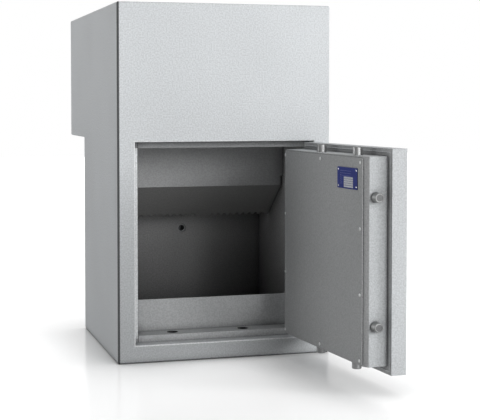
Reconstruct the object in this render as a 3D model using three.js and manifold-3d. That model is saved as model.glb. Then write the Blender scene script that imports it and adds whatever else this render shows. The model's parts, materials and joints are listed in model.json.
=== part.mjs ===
// Drop safe with a deposit drawer, in millimetres, +Z up, the front towards -Y.
// Inside the group "safe" x runs from the body's left side, y from its front face and z from the floor.
// The exported group's origin is the centre of the lower section's underside.
import * as THREE from "three";
import { mergeVertices } from "three/addons/utils/BufferGeometryUtils.js";
import Module from "manifold-3d";

// Body
const bodyWidth = 600;
const bodyHeight = 970;
const lowerDepth = 560;
const upperDepth = 835;
const upperHeight = 376;
const sideWall = 45;
const backWall = 40;
const baseThickness = 45;
const topThickness = 45;
const frontThickness = 42;
const overhangFloor = 45;
const bodyEdge = 4.5;
const bodyFold = 6;
const anchorHoleRadius = 9.5;
const anchorSinkRadius = 14;
const anchorSinkDepth = 6;
const anchorSkin = 4;
const anchorHeight = 307;

// Clearances
const seatGap = 0.3;
const runningGap = 0.4;

// How far a cutting tool runs past the faces that it goes through
const past = 1;

// Door opening and the frame behind its rebate
const openingLeft = 48;
const hingeJamb = 47;
const openingBottom = 48.5;
const openingHeight = 547;
const openingEdge = 3.6;
const frameStepLock = 15;
const frameStepHinge = 3;
const frameStepBottom = 18.5;
const frameStepTop = 17.5;
const frameDepth = 62.4;
const frameHead = 37;
const keeperHoleRadius = 15.5;

// Plates inside the vault
const lipHeight = 110;
const lipThickness = 3;
const baffleFront = 279;
const baffleThickness = 4;
const baffleBottom = 454;
const baffleNotchWidth = 7;
const baffleNotchHeight = 28;
const toothedRun = 130;
const toothedDrop = 99.5;
const toothedThickness = 4;
const toothPitch = 20;
const toothDepth = 11;
const toothValleyRadius = 5.6;
const toothedSideGap = 4;
const toothedEndMargin = 12;

// Deposit drawer, its sleeve and its trap
const drawerOpeningWidth = 360;
const drawerOpeningHeight = 180;
const drawerOpeningDrop = 70;
const sleeveSheet = 3;
const sleeveReach = 275;
const drawerFrontOverlap = 12;
const drawerFrontThickness = 12;
const drawerFrontCorner = 5;
const drawerFrontEdge = 2;
const traySideGap = 14.5;
const trayLength = 250;
const trayTopGap = 17;
const traySheet = 3;
const trayOuterLift = 97;
const trayInnerLift = 9;
const railSheet = 2;
const railHeight = 35;
const railLength = 230;
const railWidth = 10;
const railSetBack = 4;
const slideLength = 240;
const slideCorner = 4;
const pullWidth = 150;
const pullStandOff = 38;
const pullRadius = 6;
const pullBend = 15;
const pullDrop = 95;
const drawerLockRadius = 14;
const drawerLockDrop = 28;
const drawerLockProud = 4;
const drawerLockEdge = 1;
const camLength = 33;
const camWidth = 14;
const camThickness = 4;
const camRoom = 2;
const trapRodRadius = 4;
const trapBarrelRadius = 7.5;
const trapLength = 165;
const trapSheet = 3;
const trapRodSetBack = 13;
const trapRodDrop = 8;
const trapEarLength = 80;
const trapEarHeight = 34;
const trapEarNose = 10;
const trapRodOverhang = 5;
const supportLength = 50;
const supportWidth = 300;
const chuteFoot = 6;
const chuteSheet = 3;

// Door leaf and the box that covers its bolt work
const doorOpenAngle = 95.3;
const hingeAxisInset = 33;
const hingeStandOff = 15;
const leafGapLock = 2;
const leafGapHinge = 3;
const leafGapBottom = 3;
const leafGapTop = 3;
const leafThickness = 40;
const leafRecess = 1;
const leafLockTaper = 2;
const leafEdge = 2;
const boxInsetLock = 22.5;
const boxInsetHinge = 4;
const boxInsetBottom = 19.5;
const boxInsetTop = 18.5;
const boxDepth = 58;
const boxSheet = 3;
const boxChamferWidth = 15.5;
const boxChamferDepth = 8.2;
const boxRim = 34;
const coverThickness = 2.5;
const coverInsetLock = 15;
const coverInsetHinge = 1.5;
const coverInsetEnds = 4;
const coverCorner = 3;
const coverEdge = 0.6;
const screwHeadRadius = 4.6;
const screwHeadHeight = 1.6;
const screwCrownShare = 0.8;
const screwShankRadius = 2.5;
const screwLength = 9;
const screwInsetLock = 10.6;
const screwInsetHinge = 5;
const middleScrewOffset = 4;
const screwInsetTop = 11;
const screwInsetBottom = 8;
const ratingPlateWidth = 107.5;
const ratingPlateHeight = 52;
const ratingPlateThickness = 1.2;
const ratingPlateCorner = 2;
const ratingPlateInset = 24;
const ratingPlateDrop = 25.5;
const rivetRadius = 2.6;
const rivetHeight = 1;
const rivetInset = 6;

// Bolts and the disc that drives them
const boltRadius = 12;
const boltBehindLeaf = 33.5;
const boltEdge = 2;
const boltTailRadius = 7;
const boltTailLength = 6;
const sideBoltLength = 78;
const endBoltLength = 85;
const upperSideBoltHeight = 477;
const lowerSideBoltHeight = 168.5;
const outerEndBoltInset = 116;
const innerEndBoltInset = 319;
const topBoltProud = 1.5;
const bottomBoltProud = 2.5;
const boltThrow = 22;
const throwPerRadian = 21;
const carriageSheet = 4;
const carriageArm = 25;
const carriageMargin = 2;
const drivePinRadius = 5;
const drivePinReach = 57;
const discRadius = 70;
const discThickness = 6;
const discBehindLeaf = 5;
const webBehindDisc = 2;
const slotPlay = 0.5;

// Handle and key lock
const spindleRadius = 8;
const spindleSquare = 10;
const handleHubRadius = 17;
const handleHubLength = 34;
const handleHubEdge = 3;
const handleHubFlare = 2;
const handleHubFoot = 4;
const handleLeverLength = 120;
const handleLeverWidth = 22;
const handleLeverThickness = 11;
const handleLeverTaper = 0.3;
const handleLeverThinning = 0.2;
const handleLeverSetBack = 2;
const handleLeverSweep = 6;
const spindleEngagement = 22;
const spindleBushWall = 6;
const roseRadius = 33;
const roseThickness = 6;
const roseEdge = 2;
const keyLockOffset = 170;
const lockCaseWidth = 86;
const lockCaseHeight = 76;
const lockCaseDepth = 29;
const lockCaseSetBack = 32;
const lockCaseRoom = 2;
const lockBoltLength = 89;
const lockBoltHeight = 14;
const lockBoltThickness = 7;
const lockBoltGap = 3.5;
const lockBoltThrow = 12;
const lockNotchDepth = 12;
const keyPlugRadius = 12;
const keywayWidth = 3;
const keywayHeight = 12;
const keywayDepth = 12;
const keyPlugOffset = 22;
const keyRoseRadius = 19;
const keyRoseThickness = 4;

// Hinges
const hingeBarrelRadius = 13;
const hingePinRadius = 6;
const hingePinEdge = 1;
const hingePinTail = 2;
const hingePinHead = 3;
const hingePinHeadRadius = 11;
const hingePinHeadEdge = 2;
const knuckleHeight = 50;
const upperHingeHeight = 520;
const lowerHingeHeight = 120;
const hingeLeafWidth = 29;
const hingeLeafThickness = 8;
const hingeStrapLength = 120;
const hingeStrapThickness = 9;
const hingeStrapEdge = 3;
const hingeStrapStep = 2;

// Places worked out from the sizes above
const overhangHeight = bodyHeight - upperHeight;
const hingeAxisX = bodyWidth - hingeAxisInset;
const openingRight = bodyWidth - hingeJamb;
const openingTop = openingBottom + openingHeight;
const vaultBack = lowerDepth - backWall;
const vaultTop = bodyHeight - topThickness;
const wallLeft = sideWall + seatGap;
const wallRight = bodyWidth - sideWall - seatGap;
const frameFront = frontThickness + seatGap;
const frameBack = frameFront + frameDepth;
const leafLeft = openingLeft + leafGapLock;
const leafRight = openingRight - leafGapHinge;
const leafBottom = openingBottom + leafGapBottom;
const leafTop = openingTop - leafGapTop;
const leafFront = leafRecess;
const leafBack = leafFront + leafThickness;
const boxLeft = leafLeft + boxInsetLock;
const boxRight = leafRight - boxInsetHinge;
const boxBottom = leafBottom + boxInsetBottom;
const boxTop = leafTop - boxInsetTop;
const boxFront = leafBack + seatGap;
const boxBack = leafBack + boxDepth;
const coverLeft = boxLeft + coverInsetLock;
const coverRight = boxRight - coverInsetHinge;
const coverBottom = boxBottom + coverInsetEnds;
const coverTop = boxTop - coverInsetEnds;
const coverFront = boxBack + seatGap;
const coverBack = coverFront + coverThickness;
const boltDepth = leafBack + boltBehindLeaf;
const outerEndBolt = leafLeft + outerEndBoltInset;
const innerEndBolt = leafLeft + innerEndBoltInset;
const handleX = (innerEndBolt + outerEndBolt) / 2;
const handleZ = (upperSideBoltHeight + lowerSideBoltHeight) / 2;
const discFront = leafBack + discBehindLeaf;
const discBack = discFront + discThickness;
const webFront = discBack + webBehindDisc;
const webBack = webFront + carriageSheet;
const throwAngle = boltThrow / throwPerRadian;
const drawerLeft = (bodyWidth - drawerOpeningWidth) / 2;
const drawerRight = drawerLeft + drawerOpeningWidth;
const drawerOpeningTop = bodyHeight - drawerOpeningDrop;
const drawerOpeningBottom = drawerOpeningTop - drawerOpeningHeight;
const sleeveInnerEnd = upperDepth - sleeveReach;
const sleeveLeft = drawerLeft + seatGap + sleeveSheet;
const sleeveRight = drawerRight - seatGap - sleeveSheet;
const sleeveFloor = drawerOpeningBottom + seatGap + sleeveSheet;
const sleeveCeiling = drawerOpeningTop - seatGap - sleeveSheet;
const trayLeft = sleeveLeft + traySideGap;
const trayRight = sleeveRight - traySideGap;
const trayTop = sleeveCeiling - trayTopGap;
const drawerPlateFront = upperDepth + seatGap;
const drawerPlateBack = drawerPlateFront + drawerFrontThickness;
const drawerLockHeight = sleeveCeiling - drawerLockDrop;
const camBack = drawerPlateFront - traySheet - seatGap;

const wasm = await Module();
wasm.setup();

// Booleans
function solidOf(geometry) {
  const bare = geometry.clone();
  bare.deleteAttribute("normal");
  bare.deleteAttribute("uv");
  const merged = mergeVertices(bare, 1e-4);
  return new wasm.Manifold(
    new wasm.Mesh({
      numProp: 3,
      vertProperties: new Float32Array(merged.attributes.position.array),
      triVerts: new Uint32Array(merged.index.array),
    }),
  );
}

function geometryOf(solid) {
  const mesh = solid.getMesh();
  const geometry = new THREE.BufferGeometry();
  geometry.setAttribute("position", new THREE.BufferAttribute(new Float32Array(mesh.vertProperties), 3));
  geometry.setIndex(new THREE.BufferAttribute(new Uint32Array(mesh.triVerts), 1));
  const flat = geometry.toNonIndexed();
  flat.computeVertexNormals();
  return flat;
}

function join(...pieces) {
  return geometryOf(pieces.map(solidOf).reduce((sum, piece) => sum.add(piece)));
}

function cut(body, ...tools) {
  return geometryOf(tools.map(solidOf).reduce((left, tool) => left.subtract(tool), solidOf(body)));
}

// Basic forms
function block(x0, x1, y0, y1, z0, z1) {
  const geometry = new THREE.BoxGeometry(x1 - x0, y1 - y0, z1 - z0);
  return geometry.translate((x0 + x1) / 2, (y0 + y1) / 2, (z0 + z1) / 2);
}

// A lathe profile of [radius, height] points, turned about "x", "y" or "z" through a centre.
function turned(profile, axis, centre, sides = 32) {
  const points = profile.map(([radius, height]) => new THREE.Vector2(radius, height));
  const geometry = new THREE.LatheGeometry(points, sides);
  if (axis === "x") geometry.rotateZ(-Math.PI / 2);
  if (axis === "z") geometry.rotateX(Math.PI / 2);
  return geometry.translate(...centre);
}

function rod(axis, radius, from, to, centre, sides = 24) {
  const profile = [
    [0, from],
    [radius, from],
    [radius, to],
    [0, to],
  ];
  return turned(profile, axis, centre, sides);
}

function ring(axis, inner, outer, from, to, centre, sides = 24) {
  const profile = [
    [inner, from],
    [outer, from],
    [outer, to],
    [inner, to],
    [inner, from],
  ];
  return turned(profile, axis, centre, sides);
}

function outline(points) {
  return new THREE.Shape(points.map(([x, y]) => new THREE.Vector2(x, y)));
}

// A rectangle with round corners, as a shape.
function roundedRectangle(x0, x1, y0, y1, radius) {
  const shape = new THREE.Shape();
  shape.absarc(x1 - radius, y0 + radius, radius, -Math.PI / 2, 0);
  shape.absarc(x1 - radius, y1 - radius, radius, 0, Math.PI / 2);
  shape.absarc(x0 + radius, y1 - radius, radius, Math.PI / 2, Math.PI);
  shape.absarc(x0 + radius, y0 + radius, radius, Math.PI, 1.5 * Math.PI);
  return shape;
}

const towards = {
  x: new THREE.Matrix4().makeBasis(
    new THREE.Vector3(0, 1, 0),
    new THREE.Vector3(0, 0, 1),
    new THREE.Vector3(1, 0, 0),
  ),
  y: new THREE.Matrix4().makeBasis(
    new THREE.Vector3(1, 0, 0),
    new THREE.Vector3(0, 0, 1),
    new THREE.Vector3(0, -1, 0),
  ),
  z: new THREE.Matrix4(),
};

// An outline drawn in the plane across an axis, (y, z), (x, z) or (x, y), and extruded along that axis.
function prism(shape, axis, from, to, edge = 0, curveSegments = 4) {
  const geometry = new THREE.ExtrudeGeometry(shape, {
    depth: to - from - 2 * edge,
    bevelEnabled: edge > 0,
    bevelThickness: edge,
    bevelSize: edge,
    bevelOffset: -edge,
    bevelSegments: 2,
    curveSegments,
  });
  geometry.translate(0, 0, edge);
  geometry.applyMatrix4(towards[axis]);
  if (axis === "x") geometry.translate(from, 0, 0);
  if (axis === "y") geometry.translate(0, to, 0);
  if (axis === "z") geometry.translate(0, 0, from);
  return geometry;
}

// A closed surface through rings of equal numbers of points, with flat convex ends.
function loft(rings) {
  const count = rings[0].length;
  const positions = rings.flat().flatMap((point) => [point.x, point.y, point.z]);
  const faces = [];
  for (let i = 0; i + 1 < rings.length; i++) {
    for (let j = 0; j < count; j++) {
      const next = (j + 1) % count;
      const a = i * count + j;
      const b = i * count + next;
      faces.push(a, b, b + count, a, b + count, a + count);
    }
  }
  const last = (rings.length - 1) * count;
  for (let j = 1; j + 1 < count; j++) {
    faces.push(0, j + 1, j);
    faces.push(last, last + j, last + j + 1);
  }
  const geometry = new THREE.BufferGeometry();
  geometry.setAttribute("position", new THREE.Float32BufferAttribute(positions, 3));
  geometry.setIndex(faces);
  return geometry;
}

// The door opening as a tool: its front edge is rolled over a quarter circle.
function openingTool() {
  const steps = 4;
  const profile = [[-past, openingEdge]];
  for (let i = 0; i <= steps; i++) {
    const turn = (i / steps) * (Math.PI / 2);
    profile.push([openingEdge * (1 - Math.cos(turn)), openingEdge * (1 - Math.sin(turn))]);
  }
  profile.push([frontThickness + past, 0]);
  return loft(
    profile.map(([y, spread]) => {
      const left = openingLeft - spread;
      const right = openingRight + spread;
      const bottom = openingBottom - spread;
      const top = openingTop + spread;
      return [
        new THREE.Vector3(left, y, bottom),
        new THREE.Vector3(left, y, top),
        new THREE.Vector3(right, y, top),
        new THREE.Vector3(right, y, bottom),
      ];
    }),
  );
}

// Materials
function material(color, roughness, metalness) {
  return new THREE.MeshStandardMaterial({ color, roughness, metalness });
}

const greyPaint = material(0xb4b8ba, 0.55, 0);
const darkPaint = material(0x6d6f71, 0.6, 0);
const coverPaint = material(0x77797b, 0.6, 0);
const zinc = material(0xa9abaa, 0.35, 1);
const steel = material(0x8c8e90, 0.4, 1);
const chrome = material(0xc8cacc, 0.15, 1);
const brass = material(0xb09a5b, 0.35, 1);
const bluePlate = material(0x2d376e, 0.45, 0);

function piece(name, geometry, finish, group) {
  const mesh = new THREE.Mesh(geometry, finish);
  mesh.name = name;
  group.add(mesh);
}

// Groups: the safe's own measuring frame, and the door turned about its hinge axis.
const model = new THREE.Group();
const safe = new THREE.Group();
safe.position.set(-bodyWidth / 2, -lowerDepth / 2, 0);
model.add(safe);

const doorTurn = new THREE.Group();
doorTurn.position.set(hingeAxisX, -hingeStandOff, 0);
doorTurn.rotation.z = THREE.MathUtils.degToRad(doorOpenAngle);
safe.add(doorTurn);

const door = new THREE.Group();
door.position.set(-hingeAxisX, hingeStandOff, 0);
doorTurn.add(door);

// The room that the drawer lock's cam sweeps, between two heights.
function camPocket(low, high) {
  const middle = bodyWidth / 2;
  const front = camBack - camThickness - camRoom;
  return block(middle - camWidth, middle + camLength + camRoom, front, camBack + camRoom, low, high);
}

// Body shell: an L seen from the side, with the vault, the door opening and the drawer opening in it.
function bodyShell() {
  const radius = bodyFold;
  const profile = new THREE.Shape();
  profile.absarc(radius, radius, radius, Math.PI, 1.5 * Math.PI);
  profile.absarc(lowerDepth - radius, radius, radius, 1.5 * Math.PI, 2 * Math.PI);
  profile.lineTo(lowerDepth, overhangHeight);
  profile.absarc(upperDepth - radius, overhangHeight + radius, radius, 1.5 * Math.PI, 2 * Math.PI);
  profile.absarc(upperDepth - radius, bodyHeight - radius, radius, 0, Math.PI / 2);
  profile.absarc(radius, bodyHeight - radius, radius, Math.PI / 2, Math.PI);
  const hollowLeft = sideWall;
  const hollowRight = bodyWidth - sideWall;
  const overhangBase = overhangHeight + overhangFloor;
  const hollow = outline([
    [frontThickness, baseThickness],
    [vaultBack, baseThickness],
    [vaultBack, overhangBase],
    [upperDepth - backWall, overhangBase],
    [upperDepth - backWall, vaultTop],
    [frontThickness, vaultTop],
  ]);
  const anchor = [bodyWidth / 2, 0, anchorHeight];
  return cut(
    prism(profile, "x", 0, bodyWidth, bodyEdge),
    prism(hollow, "x", hollowLeft, hollowRight),
    openingTool(),
    block(drawerLeft, drawerRight, vaultBack, upperDepth + past, drawerOpeningBottom, drawerOpeningTop),
    camPocket(drawerOpeningTop - past, drawerLockHeight + camLength + camRoom),
    rod("y", anchorHoleRadius, vaultBack - past, lowerDepth - anchorSkin, anchor),
    rod("y", anchorSinkRadius, vaultBack - past, vaultBack + anchorSinkDepth, anchor),
  );
}

// Frame behind the rebate, with round keeper holes for the bolts.
function doorFrame() {
  const innerLeft = openingLeft + frameStepLock;
  const innerRight = openingRight - frameStepHinge;
  const innerBottom = openingBottom + frameStepBottom;
  const innerTop = openingTop - frameStepTop;
  const outerBottom = baseThickness + seatGap;
  const outerTop = innerTop + frameHead;
  const lockHoles = [upperSideBoltHeight, lowerSideBoltHeight].map((z) =>
    rod("x", keeperHoleRadius, wallLeft - past, innerLeft + past, [0, boltDepth, z]),
  );
  const endHoles = [innerEndBolt, outerEndBolt].flatMap((x) => [
    rod("z", keeperHoleRadius, outerBottom - past, innerBottom + past, [x, boltDepth, 0]),
    rod("z", keeperHoleRadius, innerTop - past, outerTop + past, [x, boltDepth, 0]),
  ]);
  return cut(
    block(wallLeft, wallRight, frameFront, frameBack, outerBottom, outerTop),
    block(innerLeft, innerRight, frameFront - past, frameBack + past, innerBottom, innerTop),
    ...lockHoles,
    ...endHoles,
  );
}

function retainingLip() {
  const front = frameBack + seatGap;
  const bottom = baseThickness + seatGap;
  return block(wallLeft, wallRight, front, front + lipThickness, bottom, baseThickness + lipHeight);
}

function bafflePlate() {
  const shape = outline([
    [wallLeft, baffleBottom],
    [wallRight - baffleNotchWidth, baffleBottom],
    [wallRight - baffleNotchWidth, baffleBottom + baffleNotchHeight],
    [wallRight, baffleBottom + baffleNotchHeight],
    [wallRight, vaultTop - seatGap],
    [wallLeft, vaultTop - seatGap],
  ]);
  return prism(shape, "y", baffleFront, baffleFront + baffleThickness);
}

// Sloping plate below the baffle, whose free edge is cut into round-ended teeth.
function toothedPlate() {
  const length = Math.hypot(toothedRun, toothedDrop);
  const slope = Math.atan2(toothedDrop, toothedRun);
  const width = wallRight - toothedSideGap - wallLeft;
  const count = Math.floor((width - 2 * toothedEndMargin) / toothPitch);
  const shape = new THREE.Shape();
  shape.moveTo(0, 0);
  shape.lineTo(width, 0);
  shape.lineTo(width, length);
  for (let i = 0; i < count; i++) {
    const x = width - toothedEndMargin - (i + 0.5) * toothPitch;
    shape.lineTo(x + toothValleyRadius, length);
    shape.lineTo(x + toothValleyRadius, length - toothDepth + toothValleyRadius);
    shape.absarc(x, length - toothDepth + toothValleyRadius, toothValleyRadius, 0, Math.PI, true);
    shape.lineTo(x - toothValleyRadius, length);
  }
  shape.lineTo(0, length);
  const plate = prism(shape, "z", -toothedThickness, 0, 0, 3);
  plate.rotateX(-slope);
  const top = baffleFront + baffleThickness + seatGap + toothedThickness * Math.sin(slope);
  return plate.translate(wallLeft, top, baffleBottom + toothedThickness);
}

// Deposit drawer's fixed parts
function drawerSleeve() {
  return cut(
    block(
      drawerLeft + seatGap,
      drawerRight - seatGap,
      sleeveInnerEnd,
      upperDepth - seatGap,
      drawerOpeningBottom + seatGap,
      drawerOpeningTop - seatGap,
    ),
    block(sleeveLeft, sleeveRight, sleeveInnerEnd - past, upperDepth + past, sleeveFloor, sleeveCeiling),
    camPocket(sleeveCeiling - past, drawerOpeningTop),
  );
}

function sleeveSupport() {
  const bottom = overhangHeight + overhangFloor + seatGap;
  const top = drawerOpeningBottom;
  const front = (sleeveInnerEnd + upperDepth - backWall - supportLength) / 2;
  const channel = outline([
    [front, bottom],
    [front + supportLength, bottom],
    [front + supportLength, bottom + chuteSheet],
    [front + chuteSheet, bottom + chuteSheet],
    [front + chuteSheet, top - chuteSheet],
    [front + supportLength, top - chuteSheet],
    [front + supportLength, top],
    [front, top],
  ]);
  const middle = bodyWidth / 2;
  return prism(channel, "x", middle - supportWidth / 2, middle + supportWidth / 2);
}

// Steep plate that leads a deposit from the sleeve's mouth down past the vault's back wall.
function chutePlate() {
  const topY = sleeveInnerEnd + seatGap;
  const topZ = drawerOpeningBottom - seatGap;
  const footY = vaultBack + seatGap;
  const footZ = overhangHeight + overhangFloor + seatGap;
  const shape = outline([
    [footY, footZ],
    [footY + chuteFoot, footZ],
    [topY + chuteSheet, topZ],
    [topY - chuteSheet, topZ],
  ]);
  return prism(shape, "x", wallLeft, wallRight);
}

const railBottom = (sleeveFloor + sleeveCeiling) / 2 - railHeight / 2;
const railTop = railBottom + railHeight;
const railEnd = upperDepth - seatGap - railSetBack;

// A channel on the sleeve's side, open towards the tray. side is 1 on the left and -1 on the right.
function drawerRail(side) {
  const wall = side > 0 ? sleeveLeft + seatGap : sleeveRight - seatGap;
  const shape = outline([
    [wall, railBottom],
    [wall + side * railWidth, railBottom],
    [wall + side * railWidth, railBottom + railSheet],
    [wall + side * railSheet, railBottom + railSheet],
    [wall + side * railSheet, railTop - railSheet],
    [wall + side * railWidth, railTop - railSheet],
    [wall + side * railWidth, railTop],
    [wall, railTop],
  ]);
  return prism(shape, "y", railEnd - railLength, railEnd);
}

// The bar on the tray's side that runs in the rail, with a rounded leading end.
function drawerSlide(side) {
  const tray = side > 0 ? trayLeft - seatGap : trayRight + seatGap;
  const bottom = railBottom + railSheet + runningGap;
  const top = railTop - railSheet - runningGap;
  const end = drawerPlateFront - traySheet;
  const shape = new THREE.Shape();
  shape.moveTo(end, bottom);
  shape.lineTo(end, top);
  shape.absarc(end - slideLength + slideCorner, top - slideCorner, slideCorner, Math.PI / 2, Math.PI);
  shape.absarc(end - slideLength + slideCorner, bottom + slideCorner, slideCorner, Math.PI, 1.5 * Math.PI);
  const far = tray - side * (traySideGap - seatGap * 2 - railSheet - runningGap);
  return prism(shape, "x", Math.min(tray, far), Math.max(tray, far), 0, 3);
}

const trapRodY = sleeveInnerEnd - trapRodSetBack;
const trapRodZ = sleeveCeiling - trapRodDrop;

function trapEar(side) {
  const face = side > 0 ? drawerLeft : drawerRight;
  const far = face - side * sleeveSheet;
  const radius = trapEarHeight / 2;
  const shape = new THREE.Shape();
  shape.moveTo(trapRodY + trapEarLength, trapRodZ - radius);
  shape.lineTo(trapRodY + trapEarLength, trapRodZ);
  shape.lineTo(trapRodY, trapRodZ + trapEarNose);
  shape.absarc(trapRodY, trapRodZ, trapEarNose, Math.PI / 2, Math.PI);
  shape.lineTo(trapRodY - trapEarNose, trapRodZ - radius);
  const left = Math.min(face, far);
  const right = Math.max(face, far);
  return cut(
    prism(shape, "x", left, right, 0, 6),
    rod("x", trapRodRadius + runningGap, left - past, right + past, [0, trapRodY, trapRodZ]),
  );
}

function trapRod() {
  const overhang = sleeveSheet + trapRodOverhang;
  return rod("x", trapRodRadius, drawerLeft - overhang, drawerRight + overhang, [0, trapRodY, trapRodZ]);
}

// Trap that hangs on the rod: lifted while the drawer is shut, across the sleeve's mouth when it is open.
function depositTrap() {
  const left = sleeveLeft + sleeveSheet;
  const right = sleeveRight - sleeveSheet;
  const centre = [0, trapRodY, trapRodZ];
  const bore = trapRodRadius + runningGap;
  const plate = block(
    left,
    right,
    trapRodY - trapLength,
    trapRodY - bore - runningGap,
    trapRodZ - trapSheet / 2,
    trapRodZ + trapSheet / 2,
  );
  const fold = block(
    left,
    right,
    trapRodY - trapLength,
    trapRodY - trapLength + trapSheet,
    trapRodZ - trapBarrelRadius,
    trapRodZ + trapSheet / 2,
  );
  return join(ring("x", bore, trapBarrelRadius, left, right, centre), plate, fold);
}

// Deposit drawer's moving parts
function drawerFront() {
  const shape = roundedRectangle(
    drawerLeft - drawerFrontOverlap,
    drawerRight + drawerFrontOverlap,
    drawerOpeningBottom - drawerFrontOverlap,
    drawerOpeningTop + drawerFrontOverlap,
    drawerFrontCorner,
  );
  const lockCentre = [bodyWidth / 2, 0, drawerLockHeight];
  return cut(
    prism(shape, "y", drawerPlateFront, drawerPlateBack, drawerFrontEdge, 3),
    rod("y", drawerLockRadius + seatGap, drawerPlateFront - past, drawerPlateBack + past, lockCentre),
  );
}

// Tray with a sloping floor, open at the top and at its inner end.
function drawerTray() {
  const outer = upperDepth;
  const inner = outer - trayLength;
  const outerFloor = sleeveFloor + trayOuterLift;
  const innerFloor = sleeveFloor + trayInnerLift;
  const outside = outline([
    [inner, innerFloor],
    [outer, outerFloor],
    [outer, trayTop],
    [inner, trayTop],
  ]);
  const rise = (outerFloor - innerFloor) / trayLength;
  const lockCentre = [bodyWidth / 2, 0, drawerLockHeight];
  const inside = outline([
    [inner - past, innerFloor + traySheet - rise],
    [outer - traySheet, outerFloor + traySheet - rise * traySheet],
    [outer - traySheet, trayTop + past],
    [inner - past, trayTop + past],
  ]);
  return cut(
    prism(outside, "x", trayLeft, trayRight),
    prism(inside, "x", trayLeft + traySheet, trayRight - traySheet),
    rod("y", drawerLockRadius + seatGap, outer - traySheet - past, outer + past, lockCentre),
  );
}

// Bow handle on the drawer's front, as one tube bent through two quarter turns.
function drawerPull() {
  const z = drawerOpeningTop - pullDrop;
  const left = bodyWidth / 2 - pullWidth / 2;
  const right = bodyWidth / 2 + pullWidth / 2;
  const foot = drawerPlateBack + seatGap;
  const crest = foot + pullStandOff;
  const path = new THREE.CurvePath();
  const at = (x, y) => new THREE.Vector3(x, y, z);
  const knee = crest - pullBend;
  path.add(new THREE.LineCurve3(at(left, foot), at(left, knee)));
  path.add(new THREE.QuadraticBezierCurve3(at(left, knee), at(left, crest), at(left + pullBend, crest)));
  path.add(new THREE.LineCurve3(at(left + pullBend, crest), at(right - pullBend, crest)));
  path.add(new THREE.QuadraticBezierCurve3(at(right - pullBend, crest), at(right, crest), at(right, knee)));
  path.add(new THREE.LineCurve3(at(right, knee), at(right, foot)));
  const section = new THREE.Shape().absarc(0, 0, pullRadius, 0, 2 * Math.PI);
  return new THREE.ExtrudeGeometry(section, { steps: 30, curveSegments: 5, extrudePath: path });
}

// The slot for a key, centred on x = 0 and z = 0.
function keywayTool(front, back) {
  return block(-keywayWidth / 2, keywayWidth / 2, front, back, -keywayHeight / 2, keywayHeight / 2);
}

function drawerLockBarrel() {
  const centre = [bodyWidth / 2, 0, drawerLockHeight];
  const face = drawerPlateBack + drawerLockProud;
  const profile = [
    [0, camBack],
    [drawerLockRadius, camBack],
    [drawerLockRadius, face - drawerLockEdge],
    [drawerLockRadius - drawerLockEdge, face],
    [0, face],
  ];
  const keyway = keywayTool(face - keywayDepth, face + past);
  return cut(turned(profile, "y", centre), keyway.translate(...centre));
}

function drawerLockCam() {
  const back = camBack - seatGap;
  const radius = camWidth / 2;
  const shape = new THREE.Shape();
  shape.absarc(0, 0, radius, Math.PI / 2, 1.5 * Math.PI);
  shape.lineTo(camLength - radius / 2, -radius);
  shape.lineTo(camLength - radius / 2, radius);
  const cam = prism(shape, "y", back - camThickness, back, 0, 6);
  return cam.translate(bodyWidth / 2, 0, drawerLockHeight);
}

// Door leaf: a thick slab whose lock edge tapers so that it swings clear of the opening.
function doorLeaf() {
  const shape = outline([
    [leafLeft + leafEdge, leafFront],
    [leafRight - leafEdge, leafFront],
    [leafRight, leafFront + leafEdge],
    [leafRight, leafBack],
    [leafLeft + leafLockTaper, leafBack],
    [leafLeft, leafFront + leafEdge],
  ]);
  return cut(
    prism(shape, "z", leafBottom, leafTop),
    rod("y", spindleRadius + runningGap, leafFront - past, leafBack + past, [handleX, 0, handleZ]),
    rod("y", keyPlugRadius + runningGap, leafFront - past, leafBack + past, [keyX, 0, keyZ]),
  );
}

// Section of the bolt-work box, drawn in from its outside by an inset.
function boxSection(front, inset) {
  const back = boxBack - inset;
  return outline([
    [boxLeft + inset, front],
    [boxRight - inset, front],
    [boxRight - inset, back],
    [boxLeft + boxChamferWidth + inset, back],
    [boxLeft + inset, boxBack - boxChamferDepth - inset / 2],
  ]);
}

function screwPlaces() {
  const lockSide = coverLeft + screwInsetLock;
  const hingeSide = coverRight - screwInsetHinge;
  const low = coverBottom + screwInsetBottom;
  const high = coverTop - screwInsetTop;
  const third = (high - low) / 3;
  const columns = [lockSide, hingeSide].flatMap((x) => [0, 1, 2, 3].map((i) => [x, low + i * third]));
  const middle = (coverLeft + coverRight) / 2 + middleScrewOffset;
  return [...columns, [middle, low], [middle, high]];
}

function boltBox() {
  const window = block(
    boxLeft + boxRim,
    boxRight - boxRim,
    boxBack - boxSheet - past,
    boxBack + past,
    boxBottom + boxRim,
    boxTop - boxRim,
  );
  const bore = boltRadius + runningGap;
  const sideHoles = [upperSideBoltHeight, lowerSideBoltHeight].map((z) =>
    rod("x", bore, boxLeft - past, boxLeft + boxSheet + past, [0, boltDepth, z]),
  );
  const endHoles = [innerEndBolt, outerEndBolt].flatMap((x) => [
    rod("z", bore, boxBottom - past, boxBottom + boxSheet + past, [x, boltDepth, 0]),
    rod("z", bore, boxTop - boxSheet - past, boxTop + past, [x, boltDepth, 0]),
  ]);
  const screwHoles = screwPlaces().map(([x, z]) =>
    rod("y", screwShankRadius + seatGap, boxBack - boxSheet - past, boxBack + past, [x, 0, z], 12),
  );
  return cut(
    prism(boxSection(boxFront, 0), "z", boxBottom, boxTop),
    prism(boxSection(boxFront - past, boxSheet), "z", boxBottom + boxSheet, boxTop - boxSheet),
    window,
    ...sideHoles,
    ...endHoles,
    ...screwHoles,
  );
}

function coverPlate() {
  const shape = roundedRectangle(coverLeft, coverRight, coverBottom, coverTop, coverCorner);
  const holes = screwPlaces().map(([x, z]) =>
    rod("y", screwShankRadius + seatGap, coverFront - past, coverBack + past, [x, 0, z], 12),
  );
  return cut(prism(shape, "y", coverFront, coverBack, coverEdge, 2), ...holes);
}

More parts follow.
